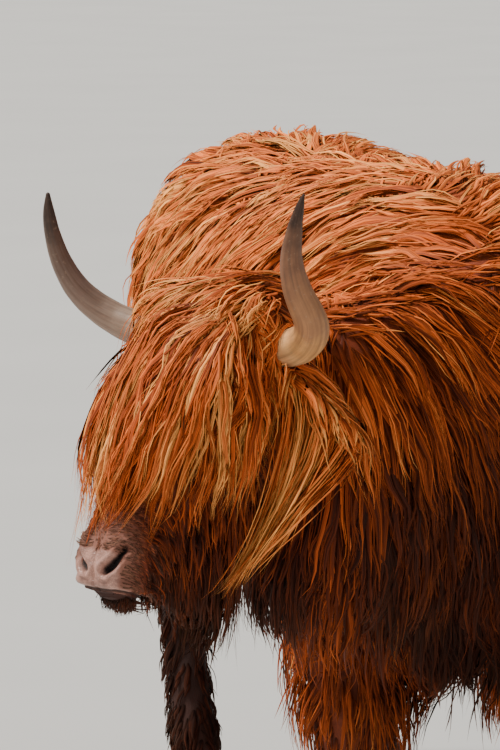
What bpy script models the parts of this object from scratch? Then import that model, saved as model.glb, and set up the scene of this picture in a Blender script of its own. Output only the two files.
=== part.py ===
"""A highland cow, life size, standing with its head turned to its right. Metres, +Z up, heading -Y.

The body is lofted from cross-sections that include the coat, melted into one closed skin, and
parted with thin flat cuts into trunk, neck, head and legs. Eyes sit in sockets; horns, ears,
forelock, hooves, udder and tail meet the body face to face.
"""
import bmesh
import bpy
import math
from mathutils import Matrix, Vector

GAP = 0.0005              # clear space between neighbouring pieces
MELT_VOXEL = 0.014        # grid on which the lofts are melted into one body
BODY_TRIANGLES = 2500     # what the melted body is thinned to
BODY_RING = 24            # points round a body cross-section
SMALL_RING = 10           # points round a horn, ear or lock
SIDES = {"left": 1, "right": -1}

# The body heads along -Y, with its left side at +X, and the withers stand over (0, 0).
WITHERS_HEIGHT = 1.18
TAIL_ROOT = Vector((0.0, 1.195, 1.085))
SWITCH_TOP = 0.62

# The head turns about the vertical towards the cow's right, and its face slopes down.
HORN_AXIS_CENTRE = Vector((-0.51, -0.316, 0.955))
HEAD_YAW = math.radians(62.3)
HEAD_PITCH = math.radians(52.0)
EYE_RADIUS = 0.019
EYE_PLACE = (0.128, 0.103, 0.0)           # along the face, out to the side, up from the axis
HORN_RADIUS = 0.0285

HOOF_TOP = 0.058
KNEE_CUT = 0.345
HOCK_CUT = 0.405
HOOF_WIDTH = 0.050         # of one claw
FEET = {                   # the middle of each foot, and of the joint it hangs from
    ("fore", "left"): (Vector((0.150, 0.070)), Vector((0.150, 0.060))),
    ("fore", "right"): (Vector((-0.192, -0.005)), Vector((-0.180, 0.065))),
    ("hind", "left"): (Vector((0.160, 0.925)), Vector((0.160, 0.960))),
    ("hind", "right"): (Vector((-0.183, 0.885)), Vector((-0.160, 0.960))),
}

COAT = (0.30, 0.095, 0.03)
MATERIALS = {
    "coat": (COAT, 0.7),
    "forelock": ((0.48, 0.19, 0.06), 0.65),
    "horn": ((0.50, 0.40, 0.30), 0.35),
    "hoof": ((0.07, 0.055, 0.045), 0.5),
    "eye": ((0.03, 0.015, 0.01), 0.1),
    "skin": ((0.50, 0.30, 0.24), 0.6),
}


# ---------------------------------------------------------------- helpers

def clear_scene():
    for old in list(bpy.data.objects):
        bpy.data.objects.remove(old)


def material(name):
    made = bpy.data.materials.get(name)
    if made is None:
        colour, roughness = MATERIALS[name]
        made = bpy.data.materials.new(name)
        made.use_nodes = True
        shader = made.node_tree.nodes["Principled BSDF"]
        shader.inputs["Base Color"].default_value = (*colour, 1.0)
        shader.inputs["Roughness"].default_value = roughness
        shader.inputs["Metallic"].default_value = 0.0
    return made


def add_object(name, mesh, finish="coat"):
    obj = bpy.data.objects.new(name, mesh)
    bpy.context.scene.collection.objects.link(obj)
    obj.data.materials.clear()
    obj.data.materials.append(material(finish))
    return obj


def remove(*objects):
    for obj in objects:
        bpy.data.objects.remove(obj)


def blended_rows(rows, steps):
    """The rows with steps - 1 more between each pair, on a smooth (Catmull-Rom) course."""
    out = []
    for i in range(len(rows) - 1):
        a, b, c, d = (rows[min(max(k, 0), len(rows) - 1)] for k in (i - 1, i, i + 1, i + 2))
        for step in range(steps):
            t = step / steps
            out.append(tuple(
                0.5 * (2 * q + (r - p) * t + (2 * p - 5 * q + 4 * r - s) * t ** 2
                       + (3 * q - p - 3 * r + s) * t ** 3)
                for p, q, r, s in zip(a, b, c, d)))
    return out + [rows[-1]]


def oval(centre, side, up, half_width, rise, drop, power=2.2, lean=Vector((0, 0, 0)), points=BODY_RING):
    """A closed ring round centre, rise above it and drop below; lean shifts a point per metre of height."""
    ring = []
    for k in range(points):
        angle = 2 * math.pi * k / points
        c, s = math.cos(angle), math.sin(angle)
        across = math.copysign(abs(c) ** (2 / power), c) * half_width
        height = math.copysign(abs(s) ** (2 / power), s) * (rise if s > 0 else drop)
        ring.append(centre + side * across + up * height + lean * height)
    return ring


def loft(rings):
    """A closed mesh through the rings, with a fan at each end."""
    bm = bmesh.new()
    rows = [[bm.verts.new(p) for p in ring] for ring in rings]
    count = len(rings[0])
    for lower, upper in zip(rows, rows[1:]):
        for k in range(count):
            bm.faces.new((lower[k], lower[(k + 1) % count], upper[(k + 1) % count], upper[k]))
    for row in (rows[0], rows[-1]):
        tip = bm.verts.new(sum((v.co for v in row), Vector()) / count)
        for k in range(count):
            bm.faces.new((row[k], row[(k + 1) % count], tip))
    bmesh.ops.triangulate(bm, faces=bm.faces)
    bmesh.ops.recalc_face_normals(bm, faces=bm.faces)
    mesh = bpy.data.meshes.new("loft")
    bm.to_mesh(mesh)
    bm.free()
    return mesh


def tube(rows, side_hint, power=2.0, points=SMALL_RING):
    """A loft along rows of (x, y, z, half width, half depth); side_hint sets which way the width lies."""
    course = [Vector(row[:3]) for row in rows]
    rings = []
    for i, row in enumerate(rows):
        along = (course[min(i + 1, len(rows) - 1)] - course[max(i - 1, 0)]).normalized()
        side = (side_hint - along * side_hint.dot(along)).normalized()
        rings.append(oval(course[i], side, along.cross(side), row[3], row[4], row[4], power, points=points))
    return loft(rings)


def ellipsoid(centre, axes, radii, fineness=3):
    """A ball stretched along three unit axes."""
    bm = bmesh.new()
    bmesh.ops.create_icosphere(bm, subdivisions=fineness, radius=1.0)
    turn = Matrix((axes[0] * radii[0], axes[1] * radii[1], axes[2] * radii[2])).transposed()
    for vert in bm.verts:
        vert.co = centre + turn @ vert.co
    bmesh.ops.recalc_face_normals(bm, faces=bm.faces)
    mesh = bpy.data.meshes.new("ellipsoid")
    bm.to_mesh(mesh)
    bm.free()
    return mesh


def joined(meshes):
    bm = bmesh.new()
    for mesh in meshes:
        bm.from_mesh(mesh)
    mesh = bpy.data.meshes.new("joined")
    bm.to_mesh(mesh)
    bm.free()
    return mesh


def settled(obj):
    """The object's mesh with its modifiers applied; the object goes."""
    graph = bpy.context.evaluated_depsgraph_get()
    mesh = bpy.data.meshes.new_from_object(obj.evaluated_get(graph))
    remove(obj)
    return mesh


def melted(meshes, voxel, smoothing, triangles):
    """One closed mesh round all the given ones, smoothed and thinned."""
    obj = add_object("melting", joined(meshes))
    remesh = obj.modifiers.new("Melt", "REMESH")
    remesh.mode = "VOXEL"
    remesh.voxel_size = voxel
    soften = obj.modifiers.new("Soften", "SMOOTH")
    soften.iterations = smoothing
    soften.factor = 0.5
    mesh = settled(obj)
    mesh.calc_loop_triangles()
    obj = add_object("thinning", mesh)
    thin = obj.modifiers.new("Thin", "DECIMATE")
    thin.ratio = triangles / len(mesh.loop_triangles)
    return settled(obj)


def inflated(mesh, by):
    """A copy with each vertex moved out along its normal."""
    bm = bmesh.new()
    bm.from_mesh(mesh)
    bm.normal_update()
    for vert, normal in [(v, v.normal.copy()) for v in bm.verts]:
        vert.co += normal * by
    copy = bpy.data.meshes.new("inflated")
    bm.to_mesh(copy)
    bm.free()
    return copy


def combined(mesh, other, operation):
    """mesh cut by, kept inside or joined to the other mesh, by an exact Boolean."""
    obj = add_object("worked", mesh)
    tool = add_object("tool", other)
    step = obj.modifiers.new("Boolean", "BOOLEAN")
    step.operation = operation
    step.object = tool
    step.solver = "EXACT"
    made = settled(obj)
    remove(tool)
    bm = bmesh.new()
    bm.from_mesh(made)
    bmesh.ops.triangulate(bm, faces=bm.faces)
    bm.to_mesh(made)
    bm.free()
    return made


def less(mesh, *others):
    """mesh without the others and a gap round them; crumbs that a cut leaves are dropped."""
    for other in others:
        mesh = combined(mesh, inflated(other, GAP), "DIFFERENCE")
    return largest_body(mesh)


def largest_body(mesh):
    """The mesh without any loose part but its largest, and without slivers."""
    bm = bmesh.new()
    bm.from_mesh(mesh)
    bmesh.ops.remove_doubles(bm, verts=bm.verts, dist=2e-5)
    bmesh.ops.dissolve_degenerate(bm, edges=bm.edges, dist=2e-5)
    left, bodies = set(bm.verts), []
    while left:
        body, edge = set(), [left.pop()]
        while edge:
            vert = edge.pop()
            body.add(vert)
            for link in vert.link_edges:
                other = link.other_vert(vert)
                if other in left:
                    left.discard(other)
                    edge.append(other)
        bodies.append(body)
    bodies.sort(key=len)
    for body in bodies[:-1]:
        bmesh.ops.delete(bm, geom=list(body), context="VERTS")
    kept = bpy.data.meshes.new("kept")
    bm.to_mesh(kept)
    bm.free()
    return kept


def convex_region(planes, offset):
    """The space behind all the planes (point, outward normal), each moved in by offset."""
    bm = bmesh.new()
    bmesh.ops.create_cube(bm, size=6.0)
    for point, normal in planes:
        n = Vector(normal).normalized()
        cut = bmesh.ops.bisect_plane(
            bm, geom=bm.verts[:] + bm.edges[:] + bm.faces[:],
            plane_co=Vector(point) - n * offset, plane_no=n, clear_outer=True)
        edges = [e for e in cut["geom_cut"] if isinstance(e, bmesh.types.BMEdge)]
        bmesh.ops.contextual_create(bm, geom=edges)
    bmesh.ops.recalc_face_normals(bm, faces=bm.faces)
    mesh = bpy.data.meshes.new("region")
    bm.to_mesh(mesh)
    bm.free()
    return mesh


# ---------------------------------------------------------------- head frame

FACING = Vector((-math.sin(HEAD_YAW), -math.cos(HEAD_YAW), 0.0))
HEAD_LEFT = Vector((math.cos(HEAD_YAW), -math.sin(HEAD_YAW), 0.0))
FACE_DOWN = FACING * math.cos(HEAD_PITCH) - Vector((0, 0, math.sin(HEAD_PITCH)))
BROW = FACE_DOWN.cross(HEAD_LEFT)


def on_head(along, left, up):
    """A point by its distance down the face from the horn axis, out to the left and up from the brow."""
    return HORN_AXIS_CENTRE + FACE_DOWN * along + HEAD_LEFT * left + BROW * up


def ahead_of_poll(ahead, left, up):
    """A point by its level distance ahead of the horn axis, out to the left and up."""
    return HORN_AXIS_CENTRE + FACING * ahead + HEAD_LEFT * left + Vector((0, 0, up))


# ---------------------------------------------------------------- body

def trunk_mesh():
    """Sections across Y: (y, half width, top, height of the widest point, bottom)."""
    rows = [
        (-0.275, 0.07, 0.80, 0.66, 0.52),
        (-0.235, 0.17, 0.94, 0.69, 0.405),
        (-0.13, 0.245, 1.08, 0.73, 0.350),
        (0.02, 0.285, WITHERS_HEIGHT, 0.77, 0.360),
        (0.30, 0.330, 1.175, 0.78, 0.395),
        (0.60, 0.345, 1.165, 0.77, 0.415),
        (0.84, 0.318, 1.185, 0.81, 0.47),
        (1.00, 0.285, 1.180, 0.85, 0.56),
        (1.12, 0.240, 1.150, 0.87, 0.66),
        (1.20, 0.170, 1.090, 0.89, 0.74),
        (1.235, 0.09, 1.000, 0.89, 0.80),
    ]
    rings = [
        oval(Vector((0, y, widest)), Vector((1, 0, 0)), Vector((0, 0, 1)),
             width, top - widest, widest - bottom, 2.25)
        for y, width, top, widest, bottom in blended_rows(rows, 2)
    ]
    return loft(rings)


def neck_point(t):
    """The neck's middle line, bending from the body's heading to the head's; t runs 0 to 1."""
    start, end = Vector((0.0, -0.02, 0.82)), Vector((-0.435, -0.285, 0.835))
    leave, arrive = Vector((0, -0.34, -0.04)), FACING * 0.36 + Vector((0, 0, 0.10))
    return (start * (2 * t ** 3 - 3 * t ** 2 + 1) + leave * (t ** 3 - 2 * t ** 2 + t)
            + end * (3 * t ** 2 - 2 * t ** 3) + arrive * (t ** 3 - t ** 2))


def neck_heading(t):
    step = 0.01
    ahead = neck_point(min(t + step, 1)) - neck_point(max(t - step, 0))
    return Vector((ahead.x, ahead.y, 0)).normalized()


def neck_mesh():
    """Upright sections along the neck: (t, half width, top, bottom)."""
    rows = [
        (-0.02, 0.235, 1.145, 0.375),
        (0.25, 0.215, 1.095, 0.390),
        (0.50, 0.185, 1.045, 0.430),
        (0.75, 0.158, 1.018, 0.470),
        (1.00, 0.135, 0.998, 0.530),
        (1.12, 0.100, 0.980, 0.580),
    ]
    rings = []
    for t, width, top, bottom in blended_rows(rows, 2):
        heading = neck_heading(min(max(t, 0), 1))
        centre = neck_point(min(max(t, 0), 1)) + heading * (max(t - 1, 0) + min(t, 0)) * 0.5
        middle = bottom + 0.58 * (top - bottom)
        centre.z = middle
        side = Vector((0, 0, 1)).cross(heading)
        rings.append(oval(centre, side, Vector((0, 0, 1)), width, top - middle, middle - bottom))
    return loft(rings)


def head_meshes():
    """The head as a loft down the face, with orbits, cheeks, nostrils and chin melted on."""
    # (along, half width, rise to the brow, drop to the jaw, how far the lower side leads)
    rows = [
        (-0.080, 0.045, 0.035, 0.050, 0.0),
        (-0.055, 0.092, 0.062, 0.100, 0.0),
        (0.000, 0.108, 0.074, 0.150, 0.0),
        (0.060, 0.116, 0.074, 0.190, 0.0),
        (0.125, 0.112, 0.068, 0.198, 0.0),
        (0.190, 0.100, 0.062, 0.180, 0.0),
        (0.250, 0.083, 0.052, 0.148, 0.20),
        (0.300, 0.071, 0.044, 0.124, 0.45),
        (0.340, 0.066, 0.040, 0.100, 0.70),
        (0.370, 0.064, 0.037, 0.082, 0.90),
        (0.395, 0.061, 0.033, 0.064, 1.00),
        (0.414, 0.054, 0.028, 0.050, 1.05),
        (0.426, 0.040, 0.019, 0.034, 1.05),
        (0.430, 0.018, 0.009, 0.016, 1.05),
    ]
    rings = [
        oval(on_head(along, 0, 0), HEAD_LEFT, BROW, width, rise, drop, 2.5, -FACE_DOWN * lead)
        for along, width, rise, drop, lead in blended_rows(rows, 2)
    ]
    axes, level = (FACE_DOWN, HEAD_LEFT, BROW), (FACING, HEAD_LEFT, Vector((0, 0, 1)))
    meshes = [loft(rings)]
    for side in SIDES.values():
        meshes.append(ellipsoid(on_head(0.122, side * 0.088, 0.018), axes, (0.045, 0.034, 0.040)))
        meshes.append(ellipsoid(on_head(0.085, side * 0.068, -0.105), axes, (0.085, 0.050, 0.085)))
        meshes.append(ellipsoid(ahead_of_poll(0.230, side * 0.034, -0.298), level, (0.034, 0.028, 0.030)))
        meshes.append(ellipsoid(on_head(-0.005, side * 0.075, 0.020), axes, (0.050, 0.050, 0.050)))
    meshes.append(ellipsoid(ahead_of_poll(0.190, 0, -0.370), level, (0.055, 0.044, 0.028)))
    meshes.append(ellipsoid(ahead_of_poll(0.075, 0, -0.335), level, (0.105, 0.060, 0.082)))
    return meshes


def leg_mesh(end, name):
    """A leg as a tube: (how far over to the foot, back, height, half width, half depth)."""
    if end == "fore":
        rows = [
            (0.00, 0.020, 0.82, 0.110, 0.185), (0.10, 0.025, 0.62, 0.130, 0.178),
            (0.35, 0.015, 0.47, 0.122, 0.146), (0.70, 0.005, 0.345, 0.093, 0.106),
            (1.00, 0.010, 0.22, 0.065, 0.072), (1.00, 0.000, 0.125, 0.061, 0.070),
            (1.00, -0.012, 0.075, 0.060, 0.072), (1.00, -0.020, 0.040, 0.055, 0.066)]
    else:
        rows = [
            (0.00, 0.020, 0.98, 0.118, 0.185), (0.15, -0.020, 0.78, 0.128, 0.222),
            (0.40, -0.015, 0.62, 0.102, 0.162), (0.70, 0.065, 0.49, 0.077, 0.104),
            (0.90, 0.098, 0.395, 0.062, 0.082), (1.00, 0.070, 0.27, 0.053, 0.064),
            (1.00, 0.032, 0.14, 0.055, 0.068), (1.00, 0.008, 0.080, 0.056, 0.070),
            (1.00, -0.005, 0.040, 0.052, 0.066)]
    foot, hip = FEET[end, name]
    path = []
    for share, back, height, width, depth in blended_rows(rows, 2):
        over = hip.lerp(foot, share)
        path.append((over.x, over.y + back, height, width, depth))
    return tube(path, Vector((1, 0, 0)), 2.1, BODY_RING)


def body_mesh():
    meshes = [trunk_mesh(), neck_mesh(), *head_meshes(), *(leg_mesh(*which) for which in FEET)]
    whole = melted(meshes, MELT_VOXEL, 4, BODY_TRIANGLES)
    ankle_cut = convex_region([((0, 0, HOOF_TOP - 0.01), (0, 0, -1))], 0.0)
    return combined(whole, ankle_cut, "INTERSECT")


# ---------------------------------------------------------------- parting the body

def regions():
    """Where each named length of the body lies: name -> planes (point, outward normal)."""
    nape, neck_base = neck_point(0.98), Vector((0, -0.20, 0.8))
    head_turn = (FACING + Vector((0, 0, 0.16))).normalized()
    neck_turn = Vector((-0.25, -1, 0)).normalized()
    found = {
        "head": [(nape, -head_turn), ((0, 0, 0.50), (0, 0, -1))],
        "neck": [(nape, head_turn), (neck_base, -neck_turn)],
    }
    for name, side in SIDES.items():
        inner, ahead, behind = (-side, 0, 0), (0, -1, 0), (0, 1, 0)
        knee, hock = (0, 0, KNEE_CUT), (0, 0, HOCK_CUT)
        found[f"foreleg_{name}"] = [
            ((side * 0.050, 0, 0), inner), ((0, -0.165, 0), ahead), ((0, 0.25, 0), behind),
            ((side * 0.165, 0.03, 0.60), (side * 0.35, 0, 1)), (knee, (0, 0, -1))]
        found[f"foreshank_{name}"] = [
            ((side * 0.02, 0, 0), inner), ((0, 0.4, 0), behind), (knee, (0, 0, 1))]
        found[f"thigh_{name}"] = [
            ((side * 0.03, 0, 0), inner), ((0, 0.725, 0.55), (0, -1, -0.3)),
            ((side * 0.175, 0.92, 0.72), (side * 0.30, 0, 1)), (hock, (0, 0, -1))]
        found[f"shank_{name}"] = [
            ((side * 0.02, 0, 0), inner), ((0, 0.72, 0), ahead), (hock, (0, 0, 1))]
    return found


def part_body(whole):
    """The body's named lengths: each region's share of it, and the trunk that is left."""
    pieces, trunk = {}, whole.copy()
    for name, planes in regions().items():
        pieces[name] = combined(trunk.copy(), convex_region(planes, GAP / 2), "INTERSECT")
        trunk = combined(trunk, convex_region(planes, -GAP / 2), "DIFFERENCE")
    pieces["trunk"] = trunk
    return pieces


# ---------------------------------------------------------------- what grows from the body

def horn_mesh(side):
    """A horn: out to the side, then sweeping up and forward; the two differ a little."""
    # (outwards, forwards, upwards, share of the base radius)
    if side > 0:
        rows = [(0.060, 0.000, -0.012, 1.0), (0.128, 0.000, -0.010, 1.0), (0.180, 0.007, 0.006, 0.97),
                (0.215, 0.030, 0.036, 0.89), (0.218, 0.062, 0.088, 0.74), (0.222, 0.078, 0.132, 0.58),
                (0.236, 0.086, 0.177, 0.40), (0.247, 0.087, 0.210, 0.23), (0.253, 0.085, 0.230, 0.04)]
    else:
        rows = [(0.060, 0.000, -0.010, 1.0), (0.140, 0.000, -0.006, 0.98), (0.190, 0.006, 0.001, 0.90),
                (0.235, 0.022, 0.023, 0.80), (0.262, 0.044, 0.054, 0.69), (0.276, 0.064, 0.095, 0.56),
                (0.281, 0.078, 0.137, 0.43), (0.283, 0.084, 0.171, 0.31), (0.283, 0.086, 0.201, 0.06)]
    path = []
    for out, ahead, up, share in blended_rows(rows, 2):
        place = HORN_AXIS_CENTRE + HEAD_LEFT * side * out + FACING * ahead + Vector((0, 0, up))
        path.append((*place, HORN_RADIUS * share, HORN_RADIUS * share))
    return tube(path, FACING, points=10)


def ear_mesh(side):
    """A drooping leaf-shaped ear with its short hair."""
    root = on_head(0.020, side * 0.095, -0.030)
    outward = (HEAD_LEFT * side * 0.90 - FACING * 0.15 + Vector((0, 0, -0.38))).normalized()
    rows = [(0.00, 0.028, 0.026), (0.03, 0.038, 0.028), (0.075, 0.060, 0.030),
            (0.12, 0.062, 0.026), (0.155, 0.044, 0.021), (0.178, 0.014, 0.010)]
    path = []
    for along, width, depth in blended_rows(rows, 2):
        sag = Vector((0, 0, -1.1)) * along ** 2
        path.append((*(root + outward * along + sag), width, depth))
    return tube(path, FACING + Vector((0, 0, 0.5)))


def fringe_mesh(side):
    """The long hair under an ear, drawn to a point that swings forward over the cheek."""
    start = on_head(0.020, side * 0.095, -0.030) + HEAD_LEFT * side * 0.080 + Vector((0, 0, -0.072))
    if side > 0:
        rows = [(0.00, 0.000, 0.000, 0.058, 0.024), (0.02, 0.010, -0.045, 0.060, 0.026),
                (0.04, -0.010, -0.100, 0.046, 0.024), (0.08, -0.030, -0.155, 0.030, 0.019),
                (0.12, -0.045, -0.210, 0.017, 0.013), (0.15, -0.055, -0.262, 0.007, 0.006)]
    else:
        rows = [(0.00, 0.000, 0.000, 0.050, 0.022), (0.01, 0.005, -0.045, 0.052, 0.024),
                (0.03, 0.000, -0.090, 0.042, 0.022), (0.05, -0.012, -0.130, 0.028, 0.016),
                (0.065, -0.022, -0.165, 0.012, 0.008)]
    path = []
    for ahead, out, up, width, depth in blended_rows(rows, 2):
        place = start + FACING * ahead + HEAD_LEFT * side * out + Vector((0, 0, up))
        path.append((*place, width, depth))
    return tube(path, FACING)


def forelock_mesh():
    """The long hair that falls from the poll over brow, eyes and nose."""
    # (along, half width, rise, drop, shift to the left)
    rows = [(-0.095, 0.040, 0.040, 0.020, 0.0), (-0.075, 0.085, 0.072, 0.050, 0.0),
            (-0.025, 0.126, 0.098, 0.085, 0.006), (0.060, 0.136, 0.104, 0.098, 0.010),
            (0.150, 0.138, 0.100, 0.110, 0.014), (0.230, 0.130, 0.092, 0.105, 0.016),
            (0.290, 0.108, 0.078, 0.085, 0.014), (0.335, 0.070, 0.058, 0.045, 0.008)]
    rings = [
        oval(on_head(along, shift, 0), HEAD_LEFT, BROW, width, rise, drop, 2.3, points=16)
        for along, width, rise, drop, shift in rows
    ]
    return loft(rings)


def claw_mesh(foot, across):
    """One of a foot's two claws: a rounded wedge with a flat sole at floor level."""
    length, half_width = 0.104, HOOF_WIDTH / 2
    centre = Vector((foot.x + across * (half_width + 0.0025), foot.y - 0.030, 0))
    # (height, share of the width, share of the length, how far back)
    rows = [(0.0, 1.0, 1.0, 0.0), (0.020, 1.0, 0.97, 0.005), (HOOF_TOP + 0.010, 0.86, 0.78, 0.022)]
    rings = []
    for height, width, depth, back in rows:
        ring = []
        for k in range(SMALL_RING):
            angle = 2 * math.pi * k / SMALL_RING
            ahead = 0.5 * length * depth * math.sin(angle)
            narrowing = 1 - 0.45 * max(0, math.sin(angle)) ** 2
            sideways = half_width * width * math.cos(angle) * narrowing + 0.05 * across * ahead
            ring.append(centre + Vector((sideways, back - ahead, height)))
        rings.append(ring)
    return loft(rings)


def udder_mesh():
    axes = (Vector((1, 0, 0)), Vector((0, 1, 0)), Vector((0, 0, 1)))
    meshes = [ellipsoid(Vector((0, 0.735, 0.455)), axes, (0.095, 0.105, 0.080))]
    for across in (-0.042, 0.042):
        for along in (0.695, 0.777):
            rows = [(across, along, 0.42, 0.014, 0.014), (across * 1.08, along, 0.36, 0.011, 0.011),
                    (across * 1.10, along, 0.335, 0.007, 0.007)]
            meshes.append(tube(blended_rows(rows, 2), Vector((1, 0, 0))))
    return melted(meshes, 0.007, 2, 260)


def hanging_tube(rows, steps):
    """A tube down the tail: rows of (back from the tail's root, height, half width, half depth)."""
    path = [(0, TAIL_ROOT.y + back, height, width, depth)
            for back, height, width, depth in blended_rows(rows, steps)]
    return tube(path, Vector((1, 0, 0)))


def tail_mesh():
    return hanging_tube([
        (-0.050, TAIL_ROOT.z + 0.020, 0.045, 0.038), (0.020, TAIL_ROOT.z, 0.046, 0.040),
        (0.075, TAIL_ROOT.z - 0.060, 0.042, 0.036), (0.088, 0.90, 0.038, 0.034),
        (0.080, 0.74, 0.036, 0.034), (0.072, SWITCH_TOP, 0.036, 0.034)], 2)


def switch_mesh():
    """The tail's brush of long hair, down to just over the ground."""
    return hanging_tube([
        (0.072, SWITCH_TOP - GAP, 0.036, 0.034), (0.070, 0.54, 0.062, 0.056),
        (0.068, 0.40, 0.072, 0.064), (0.065, 0.27, 0.054, 0.048), (0.062, 0.19, 0.028, 0.026),
        (0.060, 0.145, 0.008, 0.008)], 2)


# ---------------------------------------------------------------- assembly

def build():
    clear_scene()
    whole = body_mesh()
    eyes = {name: ellipsoid(on_head(EYE_PLACE[0], side * EYE_PLACE[1], EYE_PLACE[2]),
                            (FACE_DOWN, HEAD_LEFT, BROW), (EYE_RADIUS,) * 3, 2)
            for name, side in SIDES.items()}
    made = {}
    for name, mesh in part_body(whole).items():
        if name == "head":
            mesh = less(mesh, *eyes.values())
        made[name] = add_object(name, mesh)
    beside = []
    for name, side in SIDES.items():
        horn, ear, fringe = horn_mesh(side), ear_mesh(side), fringe_mesh(side)
        made[f"eye_{name}"] = add_object(f"eye_{name}", eyes[name], "eye")
        made[f"horn_{name}"] = add_object(f"horn_{name}", less(horn, whole), "horn")
        made[f"ear_{name}"] = add_object(f"ear_{name}", less(ear, whole, horn))
        hanging = less(fringe, whole, horn, ear)
        made[f"ear_fringe_{name}"] = add_object(f"ear_fringe_{name}", hanging, "forelock")
        beside += [horn, ear, fringe, eyes[name]]
    made["forelock"] = add_object("forelock", less(forelock_mesh(), whole, *beside), "forelock")
    for (end, name), (foot, _) in FEET.items():
        for claw, across in (("inner", -SIDES[name]), ("outer", SIDES[name])):
            label = f"claw_{end}_{name}_{claw}"
            made[label] = add_object(label, less(claw_mesh(foot, across), whole), "hoof")
    made["udder"] = add_object("udder", less(udder_mesh(), whole), "skin")
    made["tail"] = add_object("tail", less(tail_mesh(), whole))
    made["tail_switch"] = add_object("tail_switch", less(switch_mesh(), tail_mesh()))
    return made


def stand_over_origin(objects):
    """Puts the middle of the overall box's underside at the origin, and each origin in its own object."""
    corners = [Vector(c) for obj in objects for c in obj.bound_box]
    low = Vector([min(c[k] for c in corners) for k in range(3)])
    high = Vector([max(c[k] for c in corners) for k in range(3)])
    shift = Vector((-(low.x + high.x) / 2, -(low.y + high.y) / 2, -low.z))
    for obj in objects:
        middle = sum((Vector(c) for c in obj.bound_box), Vector()) / 8
        obj.data.transform(Matrix.Translation(-middle))
        obj.location = middle + shift


stand_over_origin(list(build().values()))
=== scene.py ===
"""The looks of the highland cow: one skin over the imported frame, and a coat of solid wavy locks."""
import math
from collections import namedtuple

import bmesh
import bpy
import numpy as np
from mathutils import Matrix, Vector
from mathutils.bvhtree import BVHTree
from mathutils.kdtree import KDTree


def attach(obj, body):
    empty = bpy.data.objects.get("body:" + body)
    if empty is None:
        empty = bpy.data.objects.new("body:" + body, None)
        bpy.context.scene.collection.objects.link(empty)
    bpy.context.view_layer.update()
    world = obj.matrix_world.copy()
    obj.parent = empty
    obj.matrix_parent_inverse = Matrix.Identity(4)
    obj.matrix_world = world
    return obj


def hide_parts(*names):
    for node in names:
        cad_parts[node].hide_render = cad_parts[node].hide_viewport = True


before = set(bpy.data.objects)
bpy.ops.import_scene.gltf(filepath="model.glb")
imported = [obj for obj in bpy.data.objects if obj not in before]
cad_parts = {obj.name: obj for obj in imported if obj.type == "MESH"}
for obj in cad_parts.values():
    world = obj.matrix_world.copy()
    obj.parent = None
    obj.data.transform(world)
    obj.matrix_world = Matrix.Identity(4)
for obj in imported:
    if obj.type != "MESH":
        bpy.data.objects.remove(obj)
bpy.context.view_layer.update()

SIDES = {"left": 1, "right": -1}
DOWN = np.array([0.0, 0.0, -1.0])
TURN = 2 * math.pi

# The ground under the withers, in the row's frame; the body heads along -Y from there.
WITHERS = np.array([0.206758, -0.371252, 0.0])

# The head's frame: the middle of the horn axis, down the face, out to its left, up from the brow.
HEAD_YAW = math.radians(62.3)
HEAD_PITCH = math.radians(52.0)
HEAD_ORIGIN = WITHERS + np.array([-0.51, -0.316, 0.955])
FACING = np.array([-math.sin(HEAD_YAW), -math.cos(HEAD_YAW), 0.0])
HEAD_LEFT = np.array([math.cos(HEAD_YAW), -math.sin(HEAD_YAW), 0.0])
FACE_DOWN = FACING * math.cos(HEAD_PITCH) + DOWN * math.sin(HEAD_PITCH)
BROW = np.cross(FACE_DOWN, HEAD_LEFT)
HEAD_AXES = np.array([FACE_DOWN, HEAD_LEFT, BROW])

# The neck's line from above: a place on it from the withers, its way, and the way out to its left.
NECK_PLACE = np.array([-0.2, -0.2, 0.0])
NECK_HEADING = np.array([-0.66, -0.75, 0.0])
NECK_SIDE = np.array([0.75, -0.66, 0.0])

EYE_PLACE = (0.128, 0.103, 0.0)
EYE_RADIUS = 0.019

# The skin ends inside the hooves, so high over the floor.
SKIN_END = 0.050
# How fine the melted shapes are: the body as packed, drawn in by the coat's depth, and the whole skin.
BODY_VOXEL = 0.013
DRAWN_IN_VOXEL = 0.011
SKIN_VOXEL = 0.0089

# Seeds of the random draws: the coat, then the forelock and what follows it.
COAT_SEED = 20
FORELOCK_SEED = 21

CAMERA_PLACE = WITHERS + np.array([-2.676, -7.328, 1.766])
CAMERA_AZIMUTH = math.radians(17.5)
CAMERA_DIP = math.radians(6.76)
CAMERA_LENS = 239.1

FLESH = ["trunk", "neck", "head", "udder", "tail"] + [
    f"{part}_{side}" for part in ("foreleg", "foreshank", "thigh", "shank", "ear") for side in SIDES]


# ---------------------------------------------------------------- small tools

def on_head(along, left, up):
    """A place in the head's frame: down the face, to its left, up from the brow."""
    return HEAD_ORIGIN + FACE_DOWN * along + HEAD_LEFT * left + BROW * up


def ahead_of_poll(ahead, left, up):
    """A place level ahead of the poll, to the head's left and straight up."""
    return HEAD_ORIGIN + FACING * ahead + HEAD_LEFT * left - DOWN * up


def head_coordinates(points):
    """(along the face, left, up from the brow) for each point, as rows."""
    return (points - HEAD_ORIGIN) @ HEAD_AXES.T


def aside_of_neck(points):
    """How far the points lie to the left of the neck's line."""
    return (points - WITHERS - NECK_PLACE) @ NECK_SIDE


def eye_centre(side):
    ahead, aside, up = EYE_PLACE
    return on_head(ahead, side * aside, up)


def distance_to_eyes(points):
    """How far each point is from the nearer eye's middle."""
    return np.min([np.linalg.norm(points - eye_centre(side), axis=1) for side in SIDES.values()], axis=0)


def unit(v):
    return v / np.maximum(np.linalg.norm(v, axis=-1, keepdims=True), 1e-9)


def smoothstep(low, high, value):
    t = np.clip((value - low) / (high - low), 0.0, 1.0)
    return t * t * (3 - 2 * t)


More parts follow.
